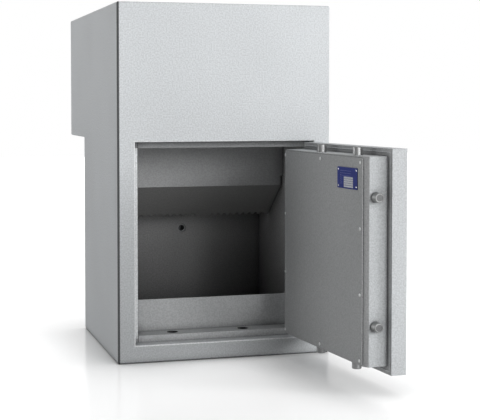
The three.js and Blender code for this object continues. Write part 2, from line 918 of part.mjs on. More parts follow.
function coverScrew([x, z]) {
  const face = coverBack + seatGap;
  const profile = [
    [0, coverBack - screwLength],
    [screwShankRadius, coverBack - screwLength],
    [screwShankRadius, face],
    [screwHeadRadius, face],
    [screwHeadRadius * screwCrownShare, face + screwHeadHeight * screwCrownShare],
    [0, face + screwHeadHeight],
  ];
  return turned(profile, "y", [x, 0, z], 12);
}

// Blank plate with a rivet head in each corner.
function ratingPlate() {
  const left = coverLeft + ratingPlateInset;
  const right = left + ratingPlateWidth;
  const top = coverTop - ratingPlateDrop;
  const bottom = top - ratingPlateHeight;
  const front = coverBack + seatGap;
  const back = front + ratingPlateThickness;
  const rivets = [left + rivetInset, right - rivetInset].flatMap((x) =>
    [bottom + rivetInset, top - rivetInset].map((z) =>
      rod("y", rivetRadius, (front + back) / 2, back + rivetHeight, [x, 0, z], 12),
    ),
  );
  const shape = roundedRectangle(left, right, bottom, top, ratingPlateCorner);
  return join(prism(shape, "y", front, back, 0, 2), ...rivets);
}

// A locking bolt: chamfered outer end, and a turned tail that passes through its carriage.
function lockingBolt(axis, outward, end, length, centre) {
  const root = end - outward * length;
  const tail = root - outward * boltTailLength;
  const profile = [
    [0, tail],
    [boltTailRadius, tail],
    [boltTailRadius, root],
    [boltRadius, root],
    [boltRadius, end - outward * boltEdge],
    [boltRadius - boltEdge, end],
    [0, end],
  ];
  if (outward < 0) profile.reverse();
  return turned(profile, axis, centre, 28);
}

// A carriage for the side bolts: an angle with an arm that ends in the drive pin.
function sideCarriage() {
  const flangeLeft = leafLeft + sideBoltLength + seatGap;
  const flangeRight = flangeLeft + carriageSheet;
  const low = lowerSideBoltHeight - boltTailRadius - carriageMargin;
  const high = upperSideBoltHeight + boltTailRadius + carriageMargin;
  const back = boltDepth + boltRadius;
  const pinX = handleX - drivePinReach;
  const flange = block(flangeLeft, flangeRight, webFront, back, low, high);
  const web = block(flangeLeft - carriageArm / 2, flangeRight, webFront, webBack, low, high);
  const arm = block(
    flangeLeft,
    pinX + carriageArm / 2,
    webFront,
    webBack,
    handleZ - carriageArm / 2,
    handleZ + carriageArm / 2,
  );
  const pin = rod("y", drivePinRadius, discFront - past, webBack, [pinX, 0, handleZ]);
  const holes = [upperSideBoltHeight, lowerSideBoltHeight].map((z) =>
    rod("x", boltTailRadius + seatGap, flangeLeft - past, flangeRight + past, [0, boltDepth, z]),
  );
  return cut(join(flange, web, arm, pin), ...holes);
}

// A carriage for the two top or the two bottom bolts. up is 1 at the top and -1 at the bottom.
function endCarriage(up, boltEnd) {
  const near = boltEnd - up * (endBoltLength + seatGap);
  const far = near - up * carriageSheet;
  const left = outerEndBolt - boltTailRadius - carriageMargin;
  const right = innerEndBolt + boltTailRadius + carriageMargin;
  const back = boltDepth + boltRadius;
  const pinZ = handleZ + up * drivePinReach;
  const span = (a, b) => [Math.min(a, b), Math.max(a, b)];
  const flange = block(left, right, webFront, back, ...span(near, far));
  const web = block(left, right, webFront, webBack, ...span(near, far - (up * carriageArm) / 2));
  const arm = block(
    handleX - carriageArm / 2,
    handleX + carriageArm / 2,
    webFront,
    webBack,
    ...span(near, pinZ - (up * carriageArm) / 2),
  );
  const pin = rod("y", drivePinRadius, discFront - past, webBack, [handleX, 0, pinZ]);
  const holes = [innerEndBolt, outerEndBolt].map((x) => {
    const [low, high] = span(near + up, far - up);
    return rod("z", boltTailRadius + seatGap, low, high, [x, boltDepth, 0]);
  });
  return cut(join(flange, web, arm, pin), ...holes);
}

// A spiral slot: its radius falls evenly as the disc turns, so each pin moves in step with the handle.
function spiralSlot(startAngle) {
  const steps = 14;
  const half = drivePinRadius + slotPlay;
  const overrun = 0.02;
  const nudge = 0.01;
  const centre = (t) => {
    const turn = -overrun + t * (throwAngle + 2 * overrun);
    const radius = drivePinReach - throwPerRadian * turn;
    const angle = startAngle + turn;
    return new THREE.Vector2(radius * Math.cos(angle), radius * Math.sin(angle));
  };
  const normal = (t) => {
    const ahead = centre(t + nudge);
    const behind = centre(t - nudge);
    const along = ahead.sub(behind).normalize();
    return new THREE.Vector2(-along.y, along.x);
  };
  const points = [];
  for (let i = 0; i <= steps; i++) {
    const t = i / steps;
    points.push(centre(t).addScaledVector(normal(t), half));
  }
  const endCap = (t, from) => {
    const middle = centre(t);
    const angle = normal(t).angle() + (from > 0 ? 0 : Math.PI);
    for (let i = 1; i < 6; i++) {
      const turn = angle - (i / 6) * Math.PI;
      points.push(new THREE.Vector2(middle.x + half * Math.cos(turn), middle.y + half * Math.sin(turn)));
    }
  };
  endCap(1, 1);
  for (let i = steps; i >= 0; i--) {
    const t = i / steps;
    points.push(centre(t).addScaledVector(normal(t), -half));
  }
  endCap(0, -1);
  return new THREE.Shape(points);
}

function driveDisc() {
  const slots = [Math.PI / 2, Math.PI, 1.5 * Math.PI].map((angle) =>
    prism(spiralSlot(angle), "y", -past, discThickness + past),
  );
  const notch = block(
    discRadius - lockNotchDepth,
    discRadius + past,
    -past,
    discThickness + past,
    -lockBoltHeight / 2 - 2 * seatGap,
    lockBoltHeight / 2 + 2 * seatGap,
  );
  const half = spindleSquare / 2 + seatGap;
  const disc = cut(
    rod("y", discRadius, 0, discThickness, [0, 0, 0], 48),
    ...slots,
    notch,
    block(-half, half, -past, discThickness + past, -half, half),
  );
  return disc.translate(handleX, discFront, handleZ);
}

const handleBase = leafFront - roseThickness - 2 * seatGap;

function handleSpindle() {
  const shoulder = discFront - seatGap;
  const half = spindleSquare / 2;
  const bar = rod("y", spindleRadius, handleBase - spindleEngagement, shoulder, [handleX, 0, handleZ]);
  const square = block(
    handleX - half,
    handleX + half,
    shoulder - past,
    discBack + webBehindDisc - runningGap,
    handleZ - half,
    handleZ + half,
  );
  return join(bar, square);
}

// Handle on the outer face: a stepped hub and a lever that tapers and thins towards its tip.
function doorHandle() {
  const base = handleBase;
  const crown = base - handleHubLength;
  const hub = turned(
    [
      [0, crown],
      [handleHubRadius - handleHubEdge, crown],
      [handleHubRadius, crown + handleHubEdge],
      [handleHubRadius, base - handleHubFoot],
      [handleHubRadius + handleHubFlare, base],
      [0, base],
    ],
    "y",
    [handleX, 0, handleZ],
  );
  const rings = [0, 0.25, 0.5, 0.75, 1].map((t) => {
    const x = handleX + t * handleLeverLength;
    const half = (handleLeverWidth / 2) * (1 - handleLeverTaper * t);
    const thick = (handleLeverThickness / 2) * (1 - handleLeverThinning * t);
    const sweep = handleLeverSweep * Math.sin((t * Math.PI) / 2);
    const middle = crown + handleLeverThickness / 2 + handleLeverSetBack + sweep;
    const corners = 12;
    return Array.from({ length: corners }, (_, i) => {
      const angle = (i / corners) * 2 * Math.PI;
      const y = middle + thick * Math.cos(angle);
      return new THREE.Vector3(x, y, handleZ + half * Math.sin(angle));
    });
  });
  const end = base - spindleEngagement - seatGap;
  const bore = rod("y", spindleRadius + seatGap, end, base + past, [handleX, 0, handleZ]);
  return cut(join(hub, loft(rings)), bore);
}

function rose(radius, thickness, bore, x, z) {
  const back = leafFront - seatGap;
  const profile = [
    [bore, back - thickness],
    [radius - roseEdge, back - thickness],
    [radius, back - thickness + roseEdge],
    [radius, back],
    [bore, back],
    [bore, back - thickness],
  ];
  return turned(profile, "y", [x, 0, z]);
}

function handleRose() {
  return rose(roseRadius, roseThickness, spindleRadius + runningGap, handleX, handleZ);
}

function keyRose() {
  return rose(keyRoseRadius, keyRoseThickness, keyPlugRadius + runningGap, keyX, keyZ);
}

const keyX = handleX + keyLockOffset;
const keyZ = handleZ + keyPlugOffset;
const lockBoltTip = handleX + discRadius + lockBoltGap;
const lockBoltFront = (discFront + discBack - lockBoltThickness) / 2;
const lockCaseLeft = lockBoltTip + lockCaseSetBack;

function lockCase() {
  const right = lockCaseLeft + lockCaseWidth;
  const half = lockBoltHeight / 2 + runningGap;
  const channel = block(
    lockCaseLeft - past,
    lockBoltTip + lockBoltLength + lockCaseRoom,
    lockBoltFront - runningGap,
    lockBoltFront + lockBoltThickness + runningGap,
    handleZ - half,
    handleZ + half,
  );
  return cut(
    block(
      lockCaseLeft,
      right,
      leafBack + seatGap,
      leafBack + lockCaseDepth,
      handleZ - lockCaseHeight / 2,
      handleZ + lockCaseHeight / 2,
    ),
    channel,
    rod("y", keyPlugRadius + runningGap, leafBack - past, leafBack + lockCaseDepth / 2, [keyX, 0, keyZ]),
  );
}

function lockBolt() {
  const half = lockBoltHeight / 2;
  const shape = roundedRectangle(
    lockBoltTip,
    lockBoltTip + lockBoltLength,
    handleZ - half,
    handleZ + half,
    2,
  );
  return prism(shape, "y", lockBoltFront, lockBoltFront + lockBoltThickness, 0, 2);
}

function keyPlug() {
  const face = leafFront - keyRoseThickness - seatGap;
  const body = rod("y", keyPlugRadius, face, leafBack + lockCaseDepth / 2 - runningGap, [keyX, 0, keyZ]);
  return cut(body, keywayTool(face - past, face + keywayDepth).translate(keyX, 0, keyZ));
}

function spindleBush() {
  const bore = spindleRadius + runningGap;
  const outer = spindleRadius + spindleBushWall;
  return ring("y", bore, outer, leafBack + seatGap, discFront - seatGap, [handleX, 0, handleZ]);
}

// Hinges: a knuckle on the body below, a knuckle on the door's strap above, and a headed pin through both.
function hingeFrameLeaf(height) {
  const centre = [hingeAxisX, -hingeStandOff, 0];
  const low = height - knuckleHeight;
  const high = height - seatGap;
  const plate = block(
    hingeAxisX,
    hingeAxisX + hingeLeafWidth,
    -hingeLeafThickness,
    -seatGap,
    low,
    high,
  );
  const barrel = rod("z", hingeBarrelRadius, low, high, centre, 28);
  const bore = rod("z", hingePinRadius + runningGap, low - past, high + past, centre);
  return cut(join(barrel, plate), bore);
}

function hingeStrap(height) {
  const centre = [hingeAxisX, -hingeStandOff, 0];
  const low = height + seatGap;
  const high = height + knuckleHeight;
  const front = -hingeStrapThickness;
  const end = hingeAxisX - hingeStrapLength;
  const step = leafRight - hingeStrapStep;
  const shape = outline([
    [end, front + hingeStrapEdge],
    [end + hingeStrapEdge, front],
    [hingeAxisX, front],
    [hingeAxisX, -2 * seatGap],
    [step, -2 * seatGap],
    [step, leafFront - seatGap],
    [end, leafFront - seatGap],
  ]);
  const barrel = rod("z", hingeBarrelRadius, low, high, centre, 28);
  const bore = rod("z", hingePinRadius + runningGap, low - past, high + past, centre);
  return cut(join(prism(shape, "z", low, high), barrel), bore);
}

function hingePin(height) {
  const low = height - knuckleHeight - hingePinTail;
  const high = height + knuckleHeight;
  const head = high + seatGap;
  const profile = [
    [0, low],
    [hingePinRadius - hingePinEdge, low],
    [hingePinRadius, low + hingePinEdge],
    [hingePinRadius, head],
    [hingePinHeadRadius, head],
    [hingePinHeadRadius - hingePinHeadEdge, head + hingePinHead],
    [0, head + hingePinHead],
  ];
  return turned(profile, "z", [hingeAxisX, -hingeStandOff, 0], 28);
}

// Assembly: the body
piece("body_shell", bodyShell(), greyPaint, safe);
piece("door_frame", doorFrame(), greyPaint, safe);
piece("retaining_lip", retainingLip(), darkPaint, safe);
piece("baffle_plate", bafflePlate(), darkPaint, safe);
piece("toothed_plate", toothedPlate(), darkPaint, safe);
piece("drawer_sleeve", drawerSleeve(), steel, safe);
piece("sleeve_support", sleeveSupport(), darkPaint, safe);
piece("chute_plate", chutePlate(), darkPaint, safe);
piece("drawer_rail_left", drawerRail(1), zinc, safe);
piece("drawer_rail_right", drawerRail(-1), zinc, safe);
piece("trap_ear_left", trapEar(1), zinc, safe);
piece("trap_ear_right", trapEar(-1), zinc, safe);
piece("trap_rod", trapRod(), zinc, safe);
for (const [name, height] of Object.entries({ upper: upperHingeHeight, lower: lowerHingeHeight })) {
  piece(name + "_hinge_leaf", hingeFrameLeaf(height), greyPaint, safe);
  piece(name + "_hinge_pin", hingePin(height), steel, safe);
  piece(name + "_hinge_strap", hingeStrap(height), greyPaint, door);
}

// Assembly: the deposit drawer and its trap
piece("deposit_trap", depositTrap(), steel, safe);
piece("drawer_front", drawerFront(), greyPaint, safe);
piece("drawer_tray", drawerTray(), steel, safe);
piece("drawer_slide_left", drawerSlide(1), zinc, safe);
piece("drawer_slide_right", drawerSlide(-1), zinc, safe);
piece("drawer_pull", drawerPull(), chrome, safe);
piece("drawer_lock_barrel", drawerLockBarrel(), chrome, safe);
piece("drawer_lock_cam", drawerLockCam(), zinc, safe);

// Assembly: the door
piece("door_leaf", doorLeaf(), greyPaint, door);
piece("bolt_box", boltBox(), greyPaint, door);
piece("cover_plate", coverPlate(), coverPaint, door);
piece("rating_plate", ratingPlate(), bluePlate, door);
screwPlaces().forEach((place, i) => piece("cover_screw_" + (i + 1), coverScrew(place), zinc, door));
piece("handle_rose", handleRose(), chrome, door);
piece("key_rose", keyRose(), chrome, door);
piece("spindle_bush", spindleBush(), brass, door);
piece("lock_case", lockCase(), steel, door);

// Assembly: the handle, the drive disc and the key lock
piece("door_handle", doorHandle(), chrome, door);
piece("handle_spindle", handleSpindle(), steel, door);
piece("drive_disc", driveDisc(), zinc, door);
piece("key_plug", keyPlug(), brass, door);
piece("lock_bolt", lockBolt(), brass, door);

// Assembly: the bolts and their carriages
const topBoltEnd = leafTop + topBoltProud;
const bottomBoltEnd = leafBottom - bottomBoltProud;
piece("side_carriage", sideCarriage(), zinc, door);
piece("top_carriage", endCarriage(1, topBoltEnd), zinc, door);
piece("bottom_carriage", endCarriage(-1, bottomBoltEnd), zinc, door);
for (const [name, z] of Object.entries({ upper: upperSideBoltHeight, lower: lowerSideBoltHeight })) {
  const centre = [0, boltDepth, z];
  piece("side_bolt_" + name, lockingBolt("x", -1, leafLeft, sideBoltLength, centre), zinc, door);
}
for (const [name, x] of Object.entries({ inner: innerEndBolt, outer: outerEndBolt })) {
  const centre = [x, boltDepth, 0];
  piece("top_bolt_" + name, lockingBolt("z", 1, topBoltEnd, endBoltLength, centre), zinc, door);
  piece("bottom_bolt_" + name, lockingBolt("z", -1, bottomBoltEnd, endBoltLength, centre), zinc, door);
}

export default model;
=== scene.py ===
# Drop safe with a deposit drawer: finishes, small pieces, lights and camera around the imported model.
# Lengths are in metres in the model's frame: +Z up, the door's front face towards -Y.
import json
import math

import bmesh
import bpy
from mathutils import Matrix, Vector


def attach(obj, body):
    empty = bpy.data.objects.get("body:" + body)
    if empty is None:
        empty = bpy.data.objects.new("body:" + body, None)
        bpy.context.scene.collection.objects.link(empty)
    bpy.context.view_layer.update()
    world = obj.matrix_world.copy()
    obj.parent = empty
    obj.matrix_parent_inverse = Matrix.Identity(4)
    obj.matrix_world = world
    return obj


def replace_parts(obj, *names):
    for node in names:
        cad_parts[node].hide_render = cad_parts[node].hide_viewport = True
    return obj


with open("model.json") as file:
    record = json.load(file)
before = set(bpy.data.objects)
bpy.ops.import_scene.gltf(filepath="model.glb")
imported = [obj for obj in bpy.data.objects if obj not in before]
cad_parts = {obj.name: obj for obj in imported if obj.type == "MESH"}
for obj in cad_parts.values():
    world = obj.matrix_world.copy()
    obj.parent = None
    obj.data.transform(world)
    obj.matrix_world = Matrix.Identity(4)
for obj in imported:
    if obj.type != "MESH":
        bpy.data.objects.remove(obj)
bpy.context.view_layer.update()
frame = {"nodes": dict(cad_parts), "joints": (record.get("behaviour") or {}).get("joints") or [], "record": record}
nodes = frame["nodes"]
joints = {joint["name"]: joint for joint in frame["joints"]}

# Camera, from the fit to the photograph
CAMERA_PLACE = (-0.8905, -3.4633, 0.7034)
CAMERA_YAW = math.radians(16.068)
CAMERA_PITCH = math.radians(2.4)
CAMERA_LENS = 91.055
CAMERA_SENSOR = 36
CAMERA_SHIFT = (0.0095, -0.1193)

# Directions: the open door's own at rest, and the model's
OUTWARD = Vector(joints["handle_turn"]["axis"]).normalized()
TO_HINGE = Vector(joints["side_bolt_slide"]["axis"]).normalized()
UP = Vector((0, 0, 1))
RIGHTWARD = Vector((1, 0, 0))
BACKWARD = Vector((0, 1, 0))

# Reach and tone of the painted shade that a corner, a narrow joint, a deep corner and the vault hold
CORNER_SHADE = (0.035, 0.36)
JOINT_SHADE = (0.005, 0.45)
DEEP_SHADE = (0.07, 0.25)
VAULT_SHADE = (0.30, 0.04)
SHADE_STOPS = (0.25, 0.8)
SHADE_SAMPLES = 8

# Paint: its slow drift of tone, its orange-peel grain, its mirror strength and its soft edges
DRIFT_SCALE = 2.3
DRIFT_DETAIL = 2
DRIFT_STOPS = (0.35, 0.65)
PEEL_SCALE = 250
PEEL_DETAIL = 1
PEEL_STOPS = (0.36, 0.64)
PEEL_DEPTH = 0.0012
PAINT_MIRROR = 0.35
SOFT_EDGE = 0.0014

# Metal: its grain and clouds. Paint and metal share the stops between a smooth and a rough grain
METAL_GRAIN_SCALE = 260
METAL_GRAIN_DETAIL = 4
METAL_GRAIN_DEPTH = 0.0002
CLOUD_SCALE = 18
CLOUD_DETAIL = 3
METAL_STOPS = (0.25, 0.75)
SHEEN_STOPS = (0.3, 0.7)

# Tones of the paint, linear: each is a light and a dark tone of one finish
PAINT = ((0.610, 0.632, 0.648), (0.565, 0.585, 0.600))
# Painted shade: a near-black line down the body's left front rounded edge
LEFT_EDGE_SHADE_TONES = ((0.075, 0.079, 0.082), (0.065, 0.069, 0.072))
# Painted highlight: the opening's rolled edges and the frame's lock side, lighter than the coat
EDGE_HIGHLIGHT = ((0.800, 0.815, 0.825), (0.760, 0.775, 0.785))
# Painted shade: near black in the bolt holes and along the frame's inner rim
SHADOW_BLACK = ((0.030, 0.030, 0.030), (0.022, 0.022, 0.022))
VAULT = ((0.370, 0.370, 0.373), (0.326, 0.326, 0.329))
# Painted light: the vault's right wall, about twice as light as the rest of the vault
VAULT_RIGHT_LIGHT = ((0.740, 0.740, 0.743), (0.680, 0.680, 0.683))
DOOR_PAINT = ((0.500, 0.518, 0.530), (0.465, 0.480, 0.492))
BOX_PAINT = ((0.450, 0.466, 0.476), (0.415, 0.430, 0.440))
LEAF_BACK = ((0.440, 0.446, 0.453), (0.410, 0.416, 0.423))
COVER_TONES = ((0.400, 0.408, 0.412), (0.370, 0.378, 0.382))
CHAMFER = ((0.430, 0.436, 0.442), (0.395, 0.401, 0.407))
# Painted shadow: the front darkens to this tone towards the floor
FRONT_FOOT_SHADOW = ((0.445, 0.461, 0.471), (0.408, 0.423, 0.433))
# Painted shade: the grey coat darkened on the recessed door frame
FRAME_SHADE_TONES = ((0.480, 0.490, 0.496), (0.440, 0.450, 0.456))
# Painted shadow: the frame's head under the front plate
FRAME_HEAD_SHADOW = ((0.260, 0.266, 0.270), (0.230, 0.236, 0.240))
LIP = ((0.445, 0.454, 0.460), (0.405, 0.414, 0.420))
BAFFLE = ((0.375, 0.380, 0.385), (0.330, 0.335, 0.340))
TOOTHED = ((0.245, 0.245, 0.243), (0.215, 0.215, 0.213))
INNER_TONES = ((0.340, 0.345, 0.350), (0.300, 0.305, 0.310))
# Painted highlight: the leaf's bead, lighter than the leaf's coat
BEAD_HIGHLIGHT_TONES = ((0.580, 0.600, 0.610), (0.540, 0.560, 0.570))
BLUE_TONES = ((0.028, 0.045, 0.255), (0.022, 0.037, 0.220))
WINDOW_TONES = ((0.660, 0.680, 0.720), (0.580, 0.600, 0.650))
RULE_TONES = ((0.130, 0.150, 0.420), (0.100, 0.120, 0.370))

# Tones of the metals, linear
ZINC_TONES = ((0.400, 0.405, 0.405), (0.310, 0.315, 0.315))
DULL_ZINC_TONES = ((0.170, 0.172, 0.174), (0.130, 0.132, 0.134))
BRIGHT_ZINC_TONES = ((0.860, 0.870, 0.870), (0.740, 0.750, 0.750))
SHEET_TONES = ((0.500, 0.510, 0.520), (0.380, 0.390, 0.400))
CHROME_TONES = ((0.720, 0.730, 0.740), (0.620, 0.630, 0.640))
BRASS_TONES = ((0.620, 0.480, 0.240), (0.460, 0.350, 0.170))


def tree_of(name):
    material = bpy.data.materials.new(name)
    material.use_nodes = True
    tree = material.node_tree
    return material, tree.nodes, tree.links, tree.nodes["Principled BSDF"]


def noise(made, links, scale, detail, coords, stretch=None):
    texture = made.new("ShaderNodeTexNoise")
    texture.inputs["Scale"].default_value = scale
    texture.inputs["Detail"].default_value = detail
    source = coords.outputs["Object"]
    if stretch:
        mapping = made.new("ShaderNodeMapping")
        mapping.inputs["Scale"].default_value = stretch
        links.new(source, mapping.inputs["Vector"])
        source = mapping.outputs["Vector"]
    links.new(source, texture.inputs["Vector"])
    return texture.outputs["Fac"]


def ramp(made, links, source, stops):
    """A colour ramp with stops of (position, colour)."""
    node = made.new("ShaderNodeValToRGB")
    elements = node.color_ramp.elements
    while len(elements) < len(stops):
        elements.new(0.5)
    for element, (position, colour) in zip(elements, stops):
        element.position = position
        element.color = (*colour, 1)
    links.new(source, node.inputs["Fac"])
    return node.outputs["Color"]


def grey(value):
    return (value, value, value)


def grey_ramp(made, links, source, stops, greys):
    """A ramp from one grey to another."""
    return ramp(made, links, source, [(stop, grey(value)) for stop, value in zip(stops, greys)])


def tone_ramp(made, links, source, stops, tones):
    """A ramp from the dark tone of a finish to its light one."""
    light, dark = tones
    return ramp(made, links, source, list(zip(stops, (dark, light))))


def mixed(made, links, factor, first, second, blend="MIX"):
    node = made.new("ShaderNodeMix")
    node.data_type = "RGBA"
    node.blend_type = blend
    if isinstance(factor, float):
        node.inputs["Factor"].default_value = factor
    else:
        links.new(factor, node.inputs["Factor"])
    links.new(first, node.inputs["A"])
    links.new(second, node.inputs["B"])
    return node.outputs["Result"]


def math_node(made, links, operation, first, second):
    node = made.new("ShaderNodeMath")
    node.operation = operation
    links.new(first, node.inputs[0])
    if isinstance(second, float):
        node.inputs[1].default_value = second
    else:
        links.new(second, node.inputs[1])
    return node.outputs["Value"]


def vector_math(made, links, operation, source, other=None):
    """The outputs of a vector maths node, whose second value is a constant."""
    node = made.new("ShaderNodeVectorMath")
    node.operation = operation
    links.new(source, node.inputs[0])
    if other is not None:
        node.inputs[1].default_value = other
    return node.outputs


def map_range(made, links, source, limits):
    """A map range node, with those of its limits that differ from 0 and 1."""
    node = made.new("ShaderNodeMapRange")
    for name, value in limits.items():
        node.inputs[name].default_value = value
    links.new(source, node.inputs["Value"])
    return node


def separated(made, links, source):
    """The X, Y and Z outputs of a vector."""
    split = made.new("ShaderNodeSeparateXYZ")
    links.new(source, split.inputs["Vector"])
    return split.outputs


def openness(made, reach, samples):
    """1 in the open, and less where other surfaces stand within reach."""
    node = made.new("ShaderNodeAmbientOcclusion")
    node.samples = samples
    node.inputs["Distance"].default_value = reach
    return node.outputs["AO"]


def raised(made, links, grain, strength, depth, shader):
    """Gives a shader a normal that a grain raises, and returns the bump node."""
    bump = made.new("ShaderNodeBump")
    bump.inputs["Strength"].default_value = strength
    bump.inputs["Distance"].default_value = depth
    links.new(grain, bump.inputs["Height"])
    links.new(bump.outputs["Normal"], shader.inputs["Normal"])
    return bump


def inside_box(low, high):
    """A mask that is 1 between two corners, in the model's frame."""

    def mask(made, links, coords):
        place = separated(made, links, coords.outputs["Object"])
        result = None
        for axis in range(3):
            above = math_node(made, links, "GREATER_THAN", place[axis], float(low[axis]))
            below = math_node(made, links, "LESS_THAN", place[axis], float(high[axis]))
            within = math_node(made, links, "MULTIPLY", above, below)
            result = within if result is None else math_node(made, links, "MULTIPLY", result, within)
        return result

    return mask


def combined(operation, first, second):
    def mask(made, links, coords):
        return math_node(made, links, operation, first(made, links, coords), second(made, links, coords))

    return mask


def either(first, second):
    """A mask that is 1 where one of two masks is."""
    return combined("MAXIMUM", first, second)


def both(first, second):
    """A mask that is 1 where both of two masks are."""
    return combined("MULTIPLY", first, second)


def inside_round(axis, centre, radius):
    """A mask that is 1 within a radius of a line that runs along one axis."""
    across = [float(index != axis) for index in range(3)]

    def mask(made, links, coords):
        apart = vector_math(made, links, "SUBTRACT", coords.outputs["Object"], centre)["Vector"]
        flat = vector_math(made, links, "MULTIPLY", apart, across)["Vector"]
        reach = vector_math(made, links, "LENGTH", flat)["Value"]
        return math_node(made, links, "LESS_THAN", reach, radius)

    return mask


def low_down(height):
    """A mask that fades from 1 at the floor to 0 at a height."""

    def mask(made, links, coords):
        place = separated(made, links, coords.outputs["Object"])
        fade = map_range(made, links, place["Z"], {"From Max": height, "To Min": 1.0, "To Max": 0.0})
        fade.interpolation_type = "SMOOTHSTEP"
        return fade.outputs["Result"]

    return mask


FACING_SHARE = 0.7


def facing(direction):
    """A mask that is 1 on the faces that look in a direction."""

    def mask(made, links, coords):
        dot = vector_math(made, links, "DOT_PRODUCT", coords.outputs["Normal"], direction)["Value"]
        return math_node(made, links, "GREATER_THAN", dot, FACING_SHARE)

    return mask


def shaded(made, links, base, shade):
    """A base colour that darkens where other surfaces stand close: painted shade."""
    reach, tone = shade
    dull = grey_ramp(made, links, openness(made, reach, SHADE_SAMPLES), SHADE_STOPS, (tone, 1.0))
    return mixed(made, links, 1.0, base, dull, "MULTIPLY")


def painted(
    name,
    tones,
    grain=0.10,
    bump=0.42,
    roughness=(0.46, 0.60),
    zones=(),
    corner=CORNER_SHADE,
    deep=None,
):
    """Powder coat: a fine orange-peel grain, a slow drift of tone, painted shade in creases and soft rounded
    edges.
    Each zone is (mask, tones): another pair of tones of the same coat where the mask is 1.
    Deep is a mask of hollow rooms, which get painted shade over a longer reach."""
    material, made, links, shader = tree_of(name)
    shader.inputs["Specular IOR Level"].default_value = PAINT_MIRROR
    coords = made.new("ShaderNodeTexCoord")
    drift = noise(made, links, DRIFT_SCALE, DRIFT_DETAIL, coords)
    base = tone_ramp(made, links, drift, DRIFT_STOPS, tones)
    for mask, zone_tones in zones:
        second = tone_ramp(made, links, drift, DRIFT_STOPS, zone_tones)
        base = mixed(made, links, mask(made, links, coords), base, second)
    if deep:
        dull = shaded(made, links, base, VAULT_SHADE)
        base = mixed(made, links, deep(made, links, coords), base, dull)
    speckle = noise(made, links, PEEL_SCALE, PEEL_DETAIL, coords)
    tone = grey_ramp(made, links, speckle, PEEL_STOPS, (1 - grain, 1 + grain))
    base = mixed(made, links, 1.0, base, tone, "MULTIPLY")
    base = shaded(made, links, base, corner)
    base = shaded(made, links, base, JOINT_SHADE)
    links.new(base, shader.inputs["Base Color"])
    links.new(grey_ramp(made, links, speckle, SHEEN_STOPS, roughness), shader.inputs["Roughness"])
    soft = made.new("ShaderNodeBevel")
    soft.inputs["Radius"].default_value = SOFT_EDGE
    peel = raised(made, links, speckle, bump, PEEL_DEPTH, shader)
    links.new(soft.outputs["Normal"], peel.inputs["Normal"])
    return material


def metal(name, tones, roughness, stretch=(1, 1, 1), bump=0.06, polish=1.0):
    """Bare or plated metal with a fine grain that can run in one direction."""
    material, made, links, shader = tree_of(name)
    coords = made.new("ShaderNodeTexCoord")
    grain = noise(made, links, METAL_GRAIN_SCALE, METAL_GRAIN_DETAIL, coords, stretch)
    cloud = noise(made, links, CLOUD_SCALE, CLOUD_DETAIL, coords)
    first, second = [grey_ramp(made, links, source, SHEEN_STOPS, (0.0, 1.0)) for source in (grain, cloud)]
    tone = mixed(made, links, 0.5, first, second)
    links.new(tone_ramp(made, links, tone, METAL_STOPS, tones), shader.inputs["Base Color"])
    links.new(grey_ramp(made, links, grain, SHEEN_STOPS, roughness), shader.inputs["Roughness"])
    shader.inputs["Metallic"].default_value = polish
    raised(made, links, grain, bump, METAL_GRAIN_DEPTH, shader)
    return material


# Zones of the shell and the frame with tones of their own; all but the vault's are painted light and shade
FRONT_FOOT_TOP = 0.62
LOWER_VAULT = inside_box((-0.2555, -0.2385, 0.0445), (0.2555, 0.2405, 0.9255))
UPPER_VAULT = inside_box((-0.2555, -0.2385, 0.6385), (0.2555, 0.5155, 0.9255))
VAULT_ZONE = either(LOWER_VAULT, UPPER_VAULT)
# Painted highlight on the opening's rolled edge
ROLLED_EDGE = inside_box((-0.2575, -0.27985, 0.0435), (0.2585, -0.2762, 0.6005))
# Painted shade down the left front rounded edge of the body
LEFT_EDGE_SHADE_ZONE = inside_box((-0.3005, -0.2805, -0.001), (-0.2945, -0.2748, 0.975))
# Painted shadow on the front's lower part, fading out at FRONT_FOOT_TOP
FRONT_LOW = both(facing(-BACKWARD), low_down(FRONT_FOOT_TOP))
# Painted light on the vault's right wall
RIGHT_WALL = both(facing(-RIGHTWARD), LOWER_VAULT)
# Painted shadow on the frame's head, below the front plate's edge
HEAD_ZONE = inside_box((-0.26, -0.2385, 0.5782), (0.26, -0.2370, 0.6155))
# Painted shadow: a near-black line at the frame's inner rim
FRAME_RIM = inside_box((-0.2376, -0.2385, 0.04), (-0.2360, -0.2360, 0.5995))
# Painted highlight on the frame's lock side
FRAME_LOCK_SIDE = inside_box((-0.2600, -0.2385, 0.06), (-0.2376, -0.2360, 0.5785))

# The holes that the bolts enter: upright ones in the head and the sill, level ones in the lock side
KEEPER_RADIUS = 0.0156
KEEPER_Y = -0.2055
UPRIGHT_KEEPERS_X = (-0.134, 0.069)
LEVEL_KEEPERS_Z = (0.477, 0.1685)
# The holes' walls are painted near black, as the shade in them
KEEPERS = either(
    either(*[inside_round(2, (x, KEEPER_Y, 0), KEEPER_RADIUS) for x in UPRIGHT_KEEPERS_X]),
    either(*[inside_round(0, (0, KEEPER_Y, z), KEEPER_RADIUS) for z in LEVEL_KEEPERS_Z]),
)

